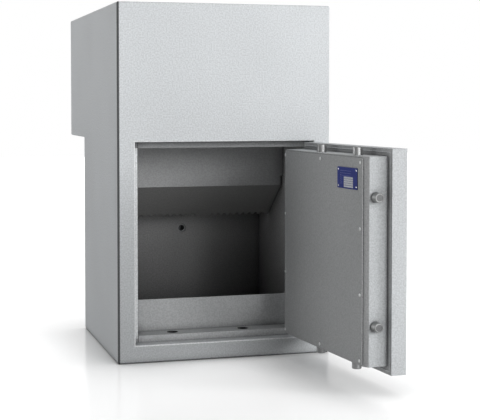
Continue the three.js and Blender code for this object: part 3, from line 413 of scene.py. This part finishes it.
SHELL_ZONES = [
    (FRONT_LOW, FRONT_FOOT_SHADOW),
    (LEFT_EDGE_SHADE_ZONE, LEFT_EDGE_SHADE_TONES),
    (VAULT_ZONE, VAULT),
    (ROLLED_EDGE, EDGE_HIGHLIGHT),
    (RIGHT_WALL, VAULT_RIGHT_LIGHT),
    (both(KEEPERS, LOWER_VAULT), SHADOW_BLACK),
]
FRAME_ZONES = [(HEAD_ZONE, FRAME_HEAD_SHADOW), (FRAME_LOCK_SIDE, EDGE_HIGHLIGHT), (FRAME_RIM, SHADOW_BLACK), (KEEPERS, SHADOW_BLACK)]
DOOR_BACK = facing(-OUTWARD)
ENAMEL_SHEEN = (0.28, 0.36)
WINDOW_SHEEN = (0.30, 0.38)

ZINC = metal("zinc_plate", ZINC_TONES, (0.42, 0.54), stretch=(1, 1, 6))
DULL_ZINC = metal("dull_zinc", DULL_ZINC_TONES, (0.44, 0.56))
BRIGHT_ZINC = metal("bright_zinc", BRIGHT_ZINC_TONES, (0.30, 0.42), polish=0.5)
CHROME = metal("chrome", CHROME_TONES, (0.08, 0.16), bump=0.02)
BRASS = metal("brass", BRASS_TONES, (0.22, 0.36))
BLUE = painted("blue_enamel", BLUE_TONES, grain=0.05, bump=0.04, roughness=ENAMEL_SHEEN)
WINDOW = painted("plate_window_enamel", WINDOW_TONES, grain=0.04, bump=0.03, roughness=WINDOW_SHEEN)
PALE_BLUE = painted("rule_enamel", RULE_TONES, grain=0.05, bump=0.04, roughness=ENAMEL_SHEEN)
BEAD_HIGHLIGHT_COAT = painted("bead_highlight_coat", BEAD_HIGHLIGHT_TONES)

FINISHES = {
    "grey_paint": painted("grey_powder_coat", PAINT),
    "inner_paint": painted("inner_powder_coat", INNER_TONES),
    "cover_paint": painted("cover_powder_coat", COVER_TONES),
    "zinc_steel": ZINC,
    "bare_steel": metal("steel_sheet", SHEET_TONES, (0.32, 0.46), stretch=(1, 14, 1)),
    "chrome_trim": CHROME,
    "brass_lock": BRASS,
    "blue_plate": BLUE,
}

OWN_FINISH = {
    "body_shell": painted("shell_powder_coat", PAINT, zones=SHELL_ZONES, deep=VAULT_ZONE),
    "door_frame": painted("frame_shaded_powder_coat", FRAME_SHADE_TONES, zones=FRAME_ZONES),
    "door_leaf": painted("leaf_powder_coat", DOOR_PAINT, zones=[(DOOR_BACK, LEAF_BACK)]),
    "bolt_box": painted("box_powder_coat", BOX_PAINT, zones=[(DOOR_BACK, CHAMFER)], corner=DEEP_SHADE),
    "retaining_lip": painted("lip_powder_coat", LIP),
    "baffle_plate": painted("baffle_powder_coat", BAFFLE, corner=DEEP_SHADE),
    "toothed_plate": painted("toothed_powder_coat", TOOTHED),
}

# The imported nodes' smooth shading: corners closer than a distance are joined, and edges past an angle split
MERGE_DISTANCE = 0.00001
SMOOTH_ANGLE = math.radians(35)
LARGE_FACE_WEIGHT = 80

for part in frame["record"]["subparts"]:
    packed = nodes[part["node"]]
    packed.data.materials.clear()
    packed.data.materials.append(OWN_FINISH.get(part["node"], FINISHES[part["material_slot"]]))
    for face in packed.data.polygons:
        face.use_smooth = True
    weld = packed.modifiers.new("weld", "WELD")
    weld.merge_threshold = MERGE_DISTANCE
    split = packed.modifiers.new("sharp_edges", "EDGE_SPLIT")
    split.split_angle = SMOOTH_ANGLE
    flat = packed.modifiers.new("flat_faces", "WEIGHTED_NORMAL")
    flat.mode = "FACE_AREA"
    flat.weight = LARGE_FACE_WEIGHT


# Pieces: the angle from which an edge is sharp, the radius that counts as none, a turned edge's chamfer
SHARP_FROM = 0.6
ON_AXIS = 1e-7
EDGE_BREAK = 0.0006

# Sides of the round shapes, from the smallest to the largest
RIVET_SIDES = 20
SCREW_SIDES = 24
PULL_SIDES = 28
LEVER_SIDES = 32
FOOT_SIDES = 40
PLUG_SIDES = 48
TURNED_SIDES = 64


def span(node, direction):
    """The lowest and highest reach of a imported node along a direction."""
    reach = [vertex.co.dot(direction) for vertex in nodes[node].data.vertices]
    return min(reach), max(reach)


def middle(node, direction):
    low, high = span(node, direction)
    return (low + high) / 2


def radius_of(node, across):
    """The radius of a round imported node, measured across its axis."""
    low, high = span(node, across)
    return (high - low) / 2


def basis(axis):
    """Two directions square to an axis and to each other."""
    across = axis.orthogonal().normalized()
    return across, axis.cross(across)


def placed(node, axis, level):
    """The point on a round node's centre line at a level along its axis."""
    across, other = basis(axis)
    return axis * level + across * middle(node, across) + other * middle(node, other)


def linked(name, data):
    thing = bpy.data.objects.new(name, data)
    bpy.context.scene.collection.objects.link(thing)
    return thing


def finished(name, mesh_maker, finish, body, sharp_from=SHARP_FROM):
    """A piece from a bmesh maker, with its finish and the body that it rides on."""
    made = bmesh.new()
    mesh_maker(made)
    bmesh.ops.recalc_face_normals(made, faces=made.faces)
    mesh = bpy.data.meshes.new(name)
    made.to_mesh(mesh)
    made.free()
    mesh.shade_smooth()
    mesh.set_sharp_from_angle(angle=sharp_from)
    mesh.materials.append(finish)
    thing = linked(name, mesh)
    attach(thing, body)
    return thing


def turns_round(count):
    """Equal angles round a circle."""
    return [2 * math.pi * step / count for step in range(count)]


def circle(centre, across, other, radius, count):
    """Points round a centre, in the plane of two directions."""
    return [centre + (across * math.cos(t) + other * math.sin(t)) * radius for t in turns_round(count)]


def rounded(corner, radius, steps=6, first=0.0, last=math.pi / 2):
    """Profile points on an arc round a centre, from one angle to another."""
    turns = [first + (last - first) * step / steps for step in range(steps + 1)]
    return [(corner[0] + radius * math.cos(t), corner[1] + radius * math.sin(t)) for t in turns]


def lathe(made, profile, axis, place, steps=TURNED_SIDES):
    """A turned shape: profile points are (radius, height along the axis) from a place on it."""
    across, other = basis(axis)
    rows = []
    for radius, height in profile:
        at = place + axis * height
        points = [at] if radius < ON_AXIS else circle(at, across, other, radius, steps)
        rows.append([made.verts.new(point) for point in points])
    for first, second in zip(rows, rows[1:]):
        for step in range(steps):
            after = (step + 1) % steps
            ends = [first[step % len(first)], first[after % len(first)]]
            ends += [second[after % len(second)], second[step % len(second)]]
            corners = list(dict.fromkeys(ends))
            if len(corners) > 2:
                made.faces.new(corners)


def skin(made, rings):
    """Faces through rings of equal numbers of points, with closed ends."""
    rows = [[made.verts.new(point) for point in ring] for ring in rings]
    count = len(rows[0])
    for first, second in zip(rows, rows[1:]):
        for i in range(count):
            after = (i + 1) % count
            made.faces.new((first[i], first[after], second[after], second[i]))
    made.faces.new(rows[0])
    made.faces.new(rows[-1])


def sunk(made, outline, drop):
    """Closes the open end of a turned shape round an outline, and sinks walls from the outline by a drop.
    Returns the corners and the edges at the walls' feet."""
    rim = [edge for edge in made.edges if len(edge.link_faces) == 1]
    corners = [made.verts.new(point) for point in outline]
    pairs = zip(corners, corners[1:] + corners[:1])
    lip = [made.edges.new(pair) for pair in pairs]
    bmesh.ops.triangle_fill(made, edges=rim + lip, use_beauty=True, use_dissolve=False)
    walls = bmesh.ops.extrude_edge_only(made, edges=lip)["geom"]
    feet = [item for item in walls if isinstance(item, bmesh.types.BMVert)]
    bmesh.ops.translate(made, verts=feet, vec=drop)
    edges = [item for item in walls if isinstance(item, bmesh.types.BMEdge)]
    return feet, [edge for edge in edges if all(corner in feet for corner in edge.verts)]


# Locking bolts: turned bars with a chamfered and dished nose, a dull disc in the dish, and a thinner tail
BOLT_CHAMFER = 0.0022
BOLT_TAIL = 0.006
BOLT_TAIL_RADIUS = 0.007
DISH_SHARE = 0.76
DISH_DEPTH = 0.0016
DISC_SHARE = 0.9
DISC_FACE_SHARE = 0.86
DISC_BACK, DISC_RIM, DISC_FACE = 0.0020, 0.0010, 0.0007


def locking_bolt(node, outward, body):
    low, high = span(node, outward)
    across, _ = basis(outward)
    radius = radius_of(node, across)
    length = high - low
    nose = rounded((radius - BOLT_CHAMFER, length - BOLT_CHAMFER), BOLT_CHAMFER)
    dish = radius * DISH_SHARE
    face = [(dish, length), (dish, length - DISH_DEPTH), (0, length - DISH_DEPTH)]
    disc = [(0, length - DISC_BACK), (dish * DISC_SHARE, length - DISC_BACK)]
    disc += [(dish * DISC_SHARE, length - DISC_RIM), (dish * DISC_FACE_SHARE, length - DISC_FACE)]
    disc.append((0, length - DISC_FACE))
    bar = [(0, 0), (BOLT_TAIL_RADIUS - EDGE_BREAK, 0), (BOLT_TAIL_RADIUS, EDGE_BREAK)]
    bar += [(BOLT_TAIL_RADIUS, BOLT_TAIL), (radius - EDGE_BREAK, BOLT_TAIL), (radius, BOLT_TAIL + EDGE_BREAK)]
    bar += nose + face

    def turned(profile):
        return lambda made: lathe(made, profile, outward, placed(node, outward, low))

    piece = finished(node + "_bar", turned(bar), ZINC, body)
    finished(node + "_end", turned(disc), DULL_ZINC, body)
    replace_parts(piece, node)


for where in ("upper", "lower"):
    locking_bolt("side_bolt_" + where, -TO_HINGE, "side_bolts")
for where in ("inner", "outer"):
    locking_bolt("top_bolt_" + where, UP, "top_bolts")
    locking_bolt("bottom_bolt_" + where, -UP, "bottom_bolts")


# Cover screws: pan heads with a cross recess
SCREWS = 10
SCREW_HEAD = 0.0016
SCREW_SHANK = 0.0025
CROWN_SHARE = 0.62
SHOULDER_SHARE = 0.75
RECESS_REACH = 0.0026
RECESS_HALF_WIDTH = 0.00055
RECESS_DEPTH = 0.0009


def cover_screw(node):
    outward = -OUTWARD
    low, high = span(node, outward)
    across, other = basis(outward)
    radius = radius_of(node, across)
    centre = placed(node, outward, high)
    crown = radius * CROWN_SHARE
    shoulder = SCREW_HEAD * SHOULDER_SHARE
    squeeze = shoulder / (radius - crown)
    profile = [(0, low - high), (SCREW_SHANK, low - high), (SCREW_SHANK, -SCREW_HEAD), (radius, -SCREW_HEAD)]
    for reach, height in rounded((crown, -shoulder), radius - crown, 5):
        profile.append((reach, -shoulder + (height + shoulder) * squeeze))
    arm, half = RECESS_REACH, RECESS_HALF_WIDTH
    cross = []
    for cos, sin in ((1, 0), (0, 1), (-1, 0), (0, -1)):
        quarter = [(arm, -half), (arm, half), (half, half)]
        cross += [(x * cos - y * sin, x * sin + y * cos) for x, y in quarter]

    def build(made):
        lathe(made, profile, outward, centre, SCREW_SIDES)
        outline = [centre + across * x + other * y for x, y in cross]
        _, base = sunk(made, outline, -outward * RECESS_DEPTH)
        bmesh.ops.triangle_fill(made, edges=base, use_beauty=True, use_dissolve=False)

    piece = finished(node + "_head", build, BRIGHT_ZINC, "door")
    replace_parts(piece, node)


for number in range(1, SCREWS + 1):
    cover_screw("cover_screw_%d" % number)


# Rating plate: blue enamel with pale rules, a ruled pale window and four domed rivets, no lettering
PLATE_THICKNESS = 0.0012
PLATE_CORNER = 0.002
TRIM_BACK = 0.001
TRIM_CORNER = 0.0002
TRIM_LIFT = 0.0001
WINDOW_LIFT = 0.00012
WINDOW_LEFT, WINDOW_RIGHT = 0.0225, 0.0715
WINDOW_LOW, WINDOW_HIGH = 0.003, 0.0295
WINDOW_ROWS = 5
WINDOW_GAP = 0.0008
RULE_THICKNESS = 0.0012
SHORT_RULE = (0.0790, 0.0915)
SHORT_RULES = 6
SHORT_RULES_LOW = 0.011
SHORT_RULES_PITCH = 0.005
LONG_RULE = (0.0330, 0.0915)
LONG_RULES = 3
LONG_RULES_BELOW_TOP = 0.0215
LONG_RULES_PITCH = 0.006
RIVET_INSET = 0.006
RIVET_RADIUS = 0.0026
RIVET_BACK = 0.0004
RIVET_RISE = 0.0008
RIVET_STEPS = 6


def slab(made, x0, x1, z0, z1, back, front, corner, origin):
    """A flat plate on the door's inner side, with rounded corners."""
    outline = []
    centres = [(x1 - corner, z1 - corner), (x0 + corner, z1 - corner)]
    centres += [(x0 + corner, z0 + corner), (x1 - corner, z0 + corner)]
    for turn, centre in enumerate(centres):
        outline += rounded(centre, corner, 4, turn * math.pi / 2, (turn + 1) * math.pi / 2)
    faces = []
    for depth in (back, front):
        faces.append([origin + TO_HINGE * x + UP * z - OUTWARD * depth for x, z in outline])
    skin(made, faces)


def rating_plate():
    left, right = span("rating_plate", TO_HINGE)
    bottom, top = span("rating_plate", UP)
    back, _ = span("rating_plate", -OUTWARD)
    origin = TO_HINGE * left + UP * bottom - OUTWARD * back
    width, height = right - left, top - bottom

    def plate(made):
        slab(made, 0, width, 0, height, 0, PLATE_THICKNESS, PLATE_CORNER, origin)

    def trim(made, x0, x1, low, high, lift):
        """A thin strip that stands a little proud of the plate."""
        slab(made, x0, x1, low, high, TRIM_BACK, PLATE_THICKNESS + lift, TRIM_CORNER, origin)

    def window(made):
        pitch = (WINDOW_HIGH - WINDOW_LOW) / WINDOW_ROWS
        for row in range(WINDOW_ROWS):
            low = WINDOW_LOW + row * pitch
            trim(made, WINDOW_LEFT, WINDOW_RIGHT, low, low + pitch - WINDOW_GAP, WINDOW_LIFT)

    def rules(made):
        for row in range(SHORT_RULES):
            low = SHORT_RULES_LOW + row * SHORT_RULES_PITCH
            trim(made, *SHORT_RULE, low, low + RULE_THICKNESS, TRIM_LIFT)
        for row in range(LONG_RULES):
            low = height - LONG_RULES_BELOW_TOP + row * LONG_RULES_PITCH
            trim(made, *LONG_RULE, low, low + RULE_THICKNESS, TRIM_LIFT)

    def rivets(made):
        foot = PLATE_THICKNESS + TRIM_LIFT
        dome = [(0, RIVET_BACK), (RIVET_RADIUS, RIVET_BACK), (RIVET_RADIUS, foot)]
        for step in range(1, RIVET_STEPS + 1):
            turn = step * math.pi / 2 / RIVET_STEPS
            reach = RIVET_RADIUS * math.cos(turn) if step < RIVET_STEPS else 0
            dome.append((reach, foot + RIVET_RISE * math.sin(turn)))
        for x in (RIVET_INSET, width - RIVET_INSET):
            for z in (RIVET_INSET, height - RIVET_INSET):
                lathe(made, dome, -OUTWARD, origin + TO_HINGE * x + UP * z, RIVET_SIDES)

    face = finished("rating_plate_face", plate, BLUE, "door")
    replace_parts(face, "rating_plate")
    finished("rating_plate_window", window, WINDOW, "door")
    finished("rating_plate_rules", rules, PALE_BLUE, "door")
    finished("rating_plate_rivets", rivets, CHROME, "door")


rating_plate()


# A low bead along three sides of the leaf's inner face: the bolt box leaves it no room on the hinge side
# Its lighter coat is a painted highlight along the bead
BEAD_INSET = 0.007
BEAD_WIDTH = 0.0036
BEAD_HEIGHT = 0.0009
BEAD_SLOPE_SHARE = 0.3
BEAD_ROOT = 0.0004
BEAD_TAPER = 0.002
BEAD_END = 0.003
BEAD_SHARP_FROM = 0.2


def leaf_bead():
    left, right = span("door_leaf", TO_HINGE)
    bottom, top = span("door_leaf", UP)
    _, back = span("door_leaf", -OUTWARD)
    slope = BEAD_WIDTH * BEAD_SLOPE_SHARE
    section = [(0, -BEAD_ROOT), (0, 0), (slope, BEAD_HEIGHT), (BEAD_WIDTH - slope, BEAD_HEIGHT)]
    section += [(BEAD_WIDTH, 0), (BEAD_WIDTH, -BEAD_ROOT)]

    def build(made):
        loops = []
        for step, lift in section:
            inset = BEAD_INSET + step
            low, high = left + inset + BEAD_TAPER, right - BEAD_END
            corners = [(high, bottom + inset), (low, bottom + inset), (low, top - inset), (high, top - inset)]
            depth = back + lift
            loops.append([made.verts.new(TO_HINGE * x + UP * z - OUTWARD * depth) for x, z in corners])
        for first, second in zip(loops, loops[1:] + loops[:1]):
            for i in range(3):
                made.faces.new([first[i], first[i + 1], second[i + 1], second[i]])
        for end in (0, 3):
            made.faces.new([loop[end] for loop in loops])

    finished("leaf_bead", build, BEAD_HIGHLIGHT_COAT, "door", BEAD_SHARP_FROM)


leaf_bead()


# Outer fittings of the door: a lever on a hub, two roses and the key plug with its keyway
HUB_RADIUS = 0.017
HUB_FLARE = 0.002
HUB_FILLET = 0.003
FLARE_HEIGHT = 0.004
FLARE_RADIUS = 0.003
LEVER_LENGTH = 0.120
LEVER_WIDTH = 0.022
LEVER_THICKNESS = 0.011
LEVER_DROP = 0.006
LEVER_SET_BACK = 0.002
LEVER_TIP = 0.010
LEVER_TIP_LEAST = 0.0004
LEVER_STEPS = 24
LEVER_TIP_STEPS = 8
LEVER_NARROWING = 0.3
LEVER_THINNING = 0.2
SQUARENESS = 0.8
HANDLE_ROSE_BORE = 0.0086
KEY_ROSE_BORE = 0.0126
ROSE_CROWN_SHARE = 0.45
ROSE_STEP_SHARE = 0.86
ROSE_ROUND_SHARE = 0.8
ROSE_ROUND_DROP = 1.3
ROSE_STEP_DROP = 0.5
ROSE_DISH = 0.0002
KEY_EDGE = 0.0008
KEYWAY_WIDTH = 0.0030
KEYWAY_HEIGHT = 0.012
KEYWAY_DEPTH = 0.011


def oval(centre, wide, thick, half_width, half_thickness):
    """A ring a little squarer than an ellipse."""
    ring = []
    for turn in turns_round(LEVER_SIDES):
        across = math.copysign(abs(math.cos(turn)) ** SQUARENESS, math.cos(turn))
        through = math.copysign(abs(math.sin(turn)) ** SQUARENESS, math.sin(turn))
        ring.append(centre + wide * across * half_width + thick * through * half_thickness)
    return ring


def door_lever():
    base, crown = span("door_handle", OUTWARD)
    hub_length = crown - base
    centre = placed("handle_spindle", OUTWARD, base)
    flare_centre = (HUB_RADIUS + FLARE_RADIUS, FLARE_HEIGHT)
    flare = rounded(flare_centre, FLARE_RADIUS, 5, 1.5 * math.pi, math.pi)
    hub = [(0, 0), (HUB_RADIUS + HUB_FLARE, 0)] + flare[1:]
    hub += rounded((HUB_RADIUS - HUB_FILLET, hub_length - HUB_FILLET), HUB_FILLET) + [(0, hub_length)]

    def lever(made):
        straight = LEVER_LENGTH - LEVER_TIP
        places = [step / LEVER_STEPS * straight for step in range(LEVER_STEPS + 1)]
        for step in range(1, LEVER_TIP_STEPS + 1):
            turn = step * math.pi / 2 / LEVER_TIP_STEPS
            places.append(LEVER_LENGTH - LEVER_TIP * (1 - math.sin(turn)))
        rings = []
        for along in places:
            share = along / LEVER_LENGTH
            past = max(0.0, along - LEVER_LENGTH + LEVER_TIP) / LEVER_TIP
            end = math.sqrt(max(LEVER_TIP_LEAST, 1 - past * past))
            drop = LEVER_THICKNESS / 2 + LEVER_SET_BACK + LEVER_DROP * math.sin(share * math.pi / 2)
            at = centre + TO_HINGE * along + OUTWARD * (hub_length - drop)
            half_width = LEVER_WIDTH / 2 * (1 - LEVER_NARROWING * share) * end
            half_thickness = LEVER_THICKNESS / 2 * (1 - LEVER_THINNING * share) * end
            rings.append(oval(at, UP, OUTWARD, half_width, half_thickness))
        skin(made, rings)

    def hub_shape(made):
        lathe(made, hub, OUTWARD, centre)

    grip = finished("door_lever", lever, CHROME, "handle")
    boss = finished("door_lever_hub", hub_shape, CHROME, "handle")
    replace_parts(grip, "door_handle")
    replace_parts(boss, "door_handle")


def door_rose(node, bore):
    low, high = span(node, OUTWARD)
    radius, thickness = radius_of(node, UP), high - low
    crown = thickness * ROSE_CROWN_SHARE
    bend = crown * ROSE_ROUND_SHARE
    step = radius * ROSE_STEP_SHARE
    profile = [(bore, 0), (radius, 0), (radius, thickness - crown)]
    profile += rounded((radius - bend, thickness - crown * ROSE_ROUND_DROP), bend)
    profile += [(step, thickness - crown * ROSE_STEP_DROP), (step - EDGE_BREAK, thickness - ROSE_DISH)]
    profile += [(bore + EDGE_BREAK, thickness), (bore, thickness - EDGE_BREAK), (bore, 0)]

    def build(made):
        lathe(made, profile, OUTWARD, placed(node, OUTWARD, low))

    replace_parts(finished(node + "_disc", build, CHROME, "door"), node)


def keyed_face(name, node, directions, edge, finish, body):
    """A lock's round plug with a keyway sunk in its face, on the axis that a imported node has.
    The directions are the way the face looks, and the way across and the way up on it."""
    outward, wide, tall = directions
    low, high = span(node, outward)
    radius = radius_of(node, tall)
    centre = placed(node, outward, high)
    profile = [(0, low - high), (radius, low - high), (radius, -edge)]
    profile += rounded((radius - edge, -edge), edge, 4)[1:]
    half_wide, half_tall = KEYWAY_WIDTH / 2, KEYWAY_HEIGHT / 2
    keyway = [(-half_wide, -half_tall), (half_wide, -half_tall)]
    keyway += [(half_wide, half_tall), (-half_wide, half_tall)]

    def build(made):
        lathe(made, profile, outward, centre, PLUG_SIDES)
        outline = [centre + wide * x + tall * z for x, z in keyway]
        feet, _ = sunk(made, outline, -outward * KEYWAY_DEPTH)
        made.faces.new(feet)

    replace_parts(finished(name, build, finish, body), node)


door_lever()
door_rose("handle_rose", HANDLE_ROSE_BORE)
door_rose("key_rose", KEY_ROSE_BORE)
keyed_face("key_cylinder", "key_plug", (OUTWARD, TO_HINGE, UP), KEY_EDGE, BRASS, "key")


# Deposit drawer's fittings: the bent pull with its feet, and the cam lock's face
PULL_RADIUS = 0.006
PULL_BEND = 0.015
PULL_BEND_STEPS = 12
PULL_FOOT_RADIUS = 0.0095
PULL_FOOT_HEIGHT = 0.002
PULL_FOOT_BREAK = 0.001
PULL_FOOT_LAP = 0.0005
DRAWER_LOCK_EDGE = 0.0012


def drawer_pull():
    left, right = span("drawer_pull", RIGHTWARD)
    foot, crest = span("drawer_pull", BACKWARD)
    height = middle("drawer_pull", UP)
    left += PULL_RADIUS
    right -= PULL_RADIUS
    crest -= PULL_RADIUS
    path = [(Vector((left, foot, height)), BACKWARD)]
    for corner_x, first, last, side in ((left, math.pi, math.pi / 2, 1), (right, math.pi / 2, 0, -1)):
        centre = Vector((corner_x + side * PULL_BEND, crest - PULL_BEND, height))
        for step in range(PULL_BEND_STEPS + 1):
            turn = first + (last - first) * step / PULL_BEND_STEPS
            at = centre + Vector((math.cos(turn), math.sin(turn), 0)) * PULL_BEND
            path.append((at, Vector((math.sin(turn), -math.cos(turn), 0))))
    path.append((Vector((right, foot, height)), -BACKWARD))

    def tube(made):
        rings = []
        for at, along in path:
            across = along.cross(UP).normalized()
            rings.append(circle(at, across, UP, PULL_RADIUS, PULL_SIDES))
        skin(made, rings)
        bore = PULL_RADIUS - PULL_FOOT_LAP
        flange = [(bore, 0), (PULL_FOOT_RADIUS, 0), (PULL_FOOT_RADIUS, PULL_FOOT_HEIGHT / 2)]
        flange += [(PULL_FOOT_RADIUS - PULL_FOOT_BREAK, PULL_FOOT_HEIGHT), (bore, PULL_FOOT_HEIGHT)]
        flange.append(flange[0])
        for x in (left, right):
            lathe(made, flange, BACKWARD, Vector((x, foot, height)), FOOT_SIDES)

    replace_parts(finished("drawer_pull_bar", tube, CHROME, "drawer"), "drawer_pull")


drawer_pull()
keyed_face(
    "drawer_lock_face",
    "drawer_lock_barrel",
    (BACKWARD, -RIGHTWARD, UP),
    DRAWER_LOCK_EDGE,
    CHROME,
    "drawer_lock",
)


def camera():
    data = bpy.data.cameras.new("camera")
    data.lens = CAMERA_LENS
    data.sensor_width = CAMERA_SENSOR
    data.sensor_fit = "HORIZONTAL"
    data.shift_x, data.shift_y = CAMERA_SHIFT
    made = linked("camera", data)
    made.location = CAMERA_PLACE
    made.rotation_euler = (math.pi / 2 - CAMERA_PITCH, 0, -CAMERA_YAW)
    bpy.context.scene.camera = made


# The surround: plain light on the object, white to the camera, and a ramp from front to back for mirrors
SURROUND_FILL = 0.24
SURROUND_RAMP = [(0.0, 0.75), (0.2, 0.7), (0.3, 0.10), (0.62, 0.10), (0.72, 1.0)]

# The floor: its size and finish, how its glow rises with distance, and how it fades under things as a painted
# contact shadow
FLOOR_SIZE = 24
FLOOR_TONE = 0.84
FLOOR_ROUGHNESS = 0.16
FLOOR_MIRROR = 0.5
FLOOR_GLOW = {"From Min": 2.0, "From Max": 7.0, "To Min": 0.46, "To Max": 0.85}
# Painted contact shadow: the floor's glow dims where other surfaces stand close
CONTACT_REACH = 0.2
CONTACT_SAMPLES = 12
CONTACT_FADE = {"From Min": 0.45, "To Min": 0.1}

# Square lamps: name, place, target, side, power, and whether mirrors show it
LAMPS = [
    ("main_lamp", (1.7, -5.8, 1.5), (0.0, -0.3, 0.6), 2.2, 155, True),
    ("right_lamp", (3.8, -3.0, 1.6), (0.05, -0.3, 0.6), 1.4, 91, False),
    ("top_lamp", (0.2, 0.0, 3.4), (0.0, 0.0, 0.5), 2.6, 28, False),
    ("left_lamp", (-3.6, 1.2, 0.25), (0.0, 0.0, 0.22), 1.8, 41, True),
]


def surround():
    """A world that is white to the camera and plain on the object, with dark sides that only mirrors show."""
    world = bpy.data.worlds.new("surround")
    bpy.context.scene.world = world
    world.use_nodes = True
    made, links = world.node_tree.nodes, world.node_tree.links
    background = made["Background"]
    background.inputs["Strength"].default_value = 1.0
    coords = made.new("ShaderNodeTexCoord")
    direction = separated(made, links, coords.outputs["Generated"])
    depth = map_range(made, links, direction["Y"], {"From Min": -1.0}).outputs["Result"]
    walls = ramp(made, links, depth, [(position, grey(value)) for position, value in SURROUND_RAMP])
    path = made.new("ShaderNodeLightPath")
    fill, white = [made.new("ShaderNodeRGB").outputs["Color"] for _ in range(2)]
    fill.default_value = (*grey(SURROUND_FILL), 1)
    white.default_value = (*grey(1.0), 1)
    shown = mixed(made, links, path.outputs["Is Glossy Ray"], fill, walls)
    shown = mixed(made, links, path.outputs["Is Camera Ray"], shown, white)
    links.new(shown, background.inputs["Color"])


def floor():
    """A pale polished floor that fades into the white surround, with a painted contact shadow: darker close under
    what stands on it.
    """
    material, made, links, shader = tree_of("studio_floor")
    shader.inputs["Base Color"].default_value = (*grey(FLOOR_TONE), 1)
    shader.inputs["Roughness"].default_value = FLOOR_ROUGHNESS
    shader.inputs["Specular IOR Level"].default_value = FLOOR_MIRROR
    shader.inputs["Emission Color"].default_value = (*grey(1.0), 1)
    path = made.new("ShaderNodeLightPath")
    coords = made.new("ShaderNodeTexCoord")
    reach = vector_math(made, links, "LENGTH", coords.outputs["Object"])["Value"]
    fade = map_range(made, links, reach, FLOOR_GLOW).outputs["Result"]
    near = openness(made, CONTACT_REACH, CONTACT_SAMPLES)
    contact = map_range(made, links, near, CONTACT_FADE).outputs["Result"]
    glow = math_node(made, links, "MULTIPLY", fade, path.outputs["Is Camera Ray"])
    glow = math_node(made, links, "MULTIPLY", glow, contact)
    links.new(glow, shader.inputs["Emission Strength"])
    bpy.ops.mesh.primitive_plane_add(size=FLOOR_SIZE, location=(0, 0, 0))
    plane = bpy.context.object
    plane.name = "studio_floor"
    plane.data.materials.append(material)


def lamp(name, place, target, side, power, mirrored):
    """A square lamp that looks at a target, and that mirrors show or don't."""
    data = bpy.data.lights.new(name, "AREA")
    data.shape = "RECTANGLE"
    data.size = data.size_y = side
    data.energy = power
    made = linked(name, data)
    made.location = place
    made.visible_glossy = mirrored
    aim = Vector(target) - Vector(place)
    made.rotation_euler = aim.to_track_quat("-Z", "Y").to_euler()


camera()
surround()
floor()
for settings in LAMPS:
    lamp(*settings)

bpy.context.scene.view_settings.view_transform = "Standard"
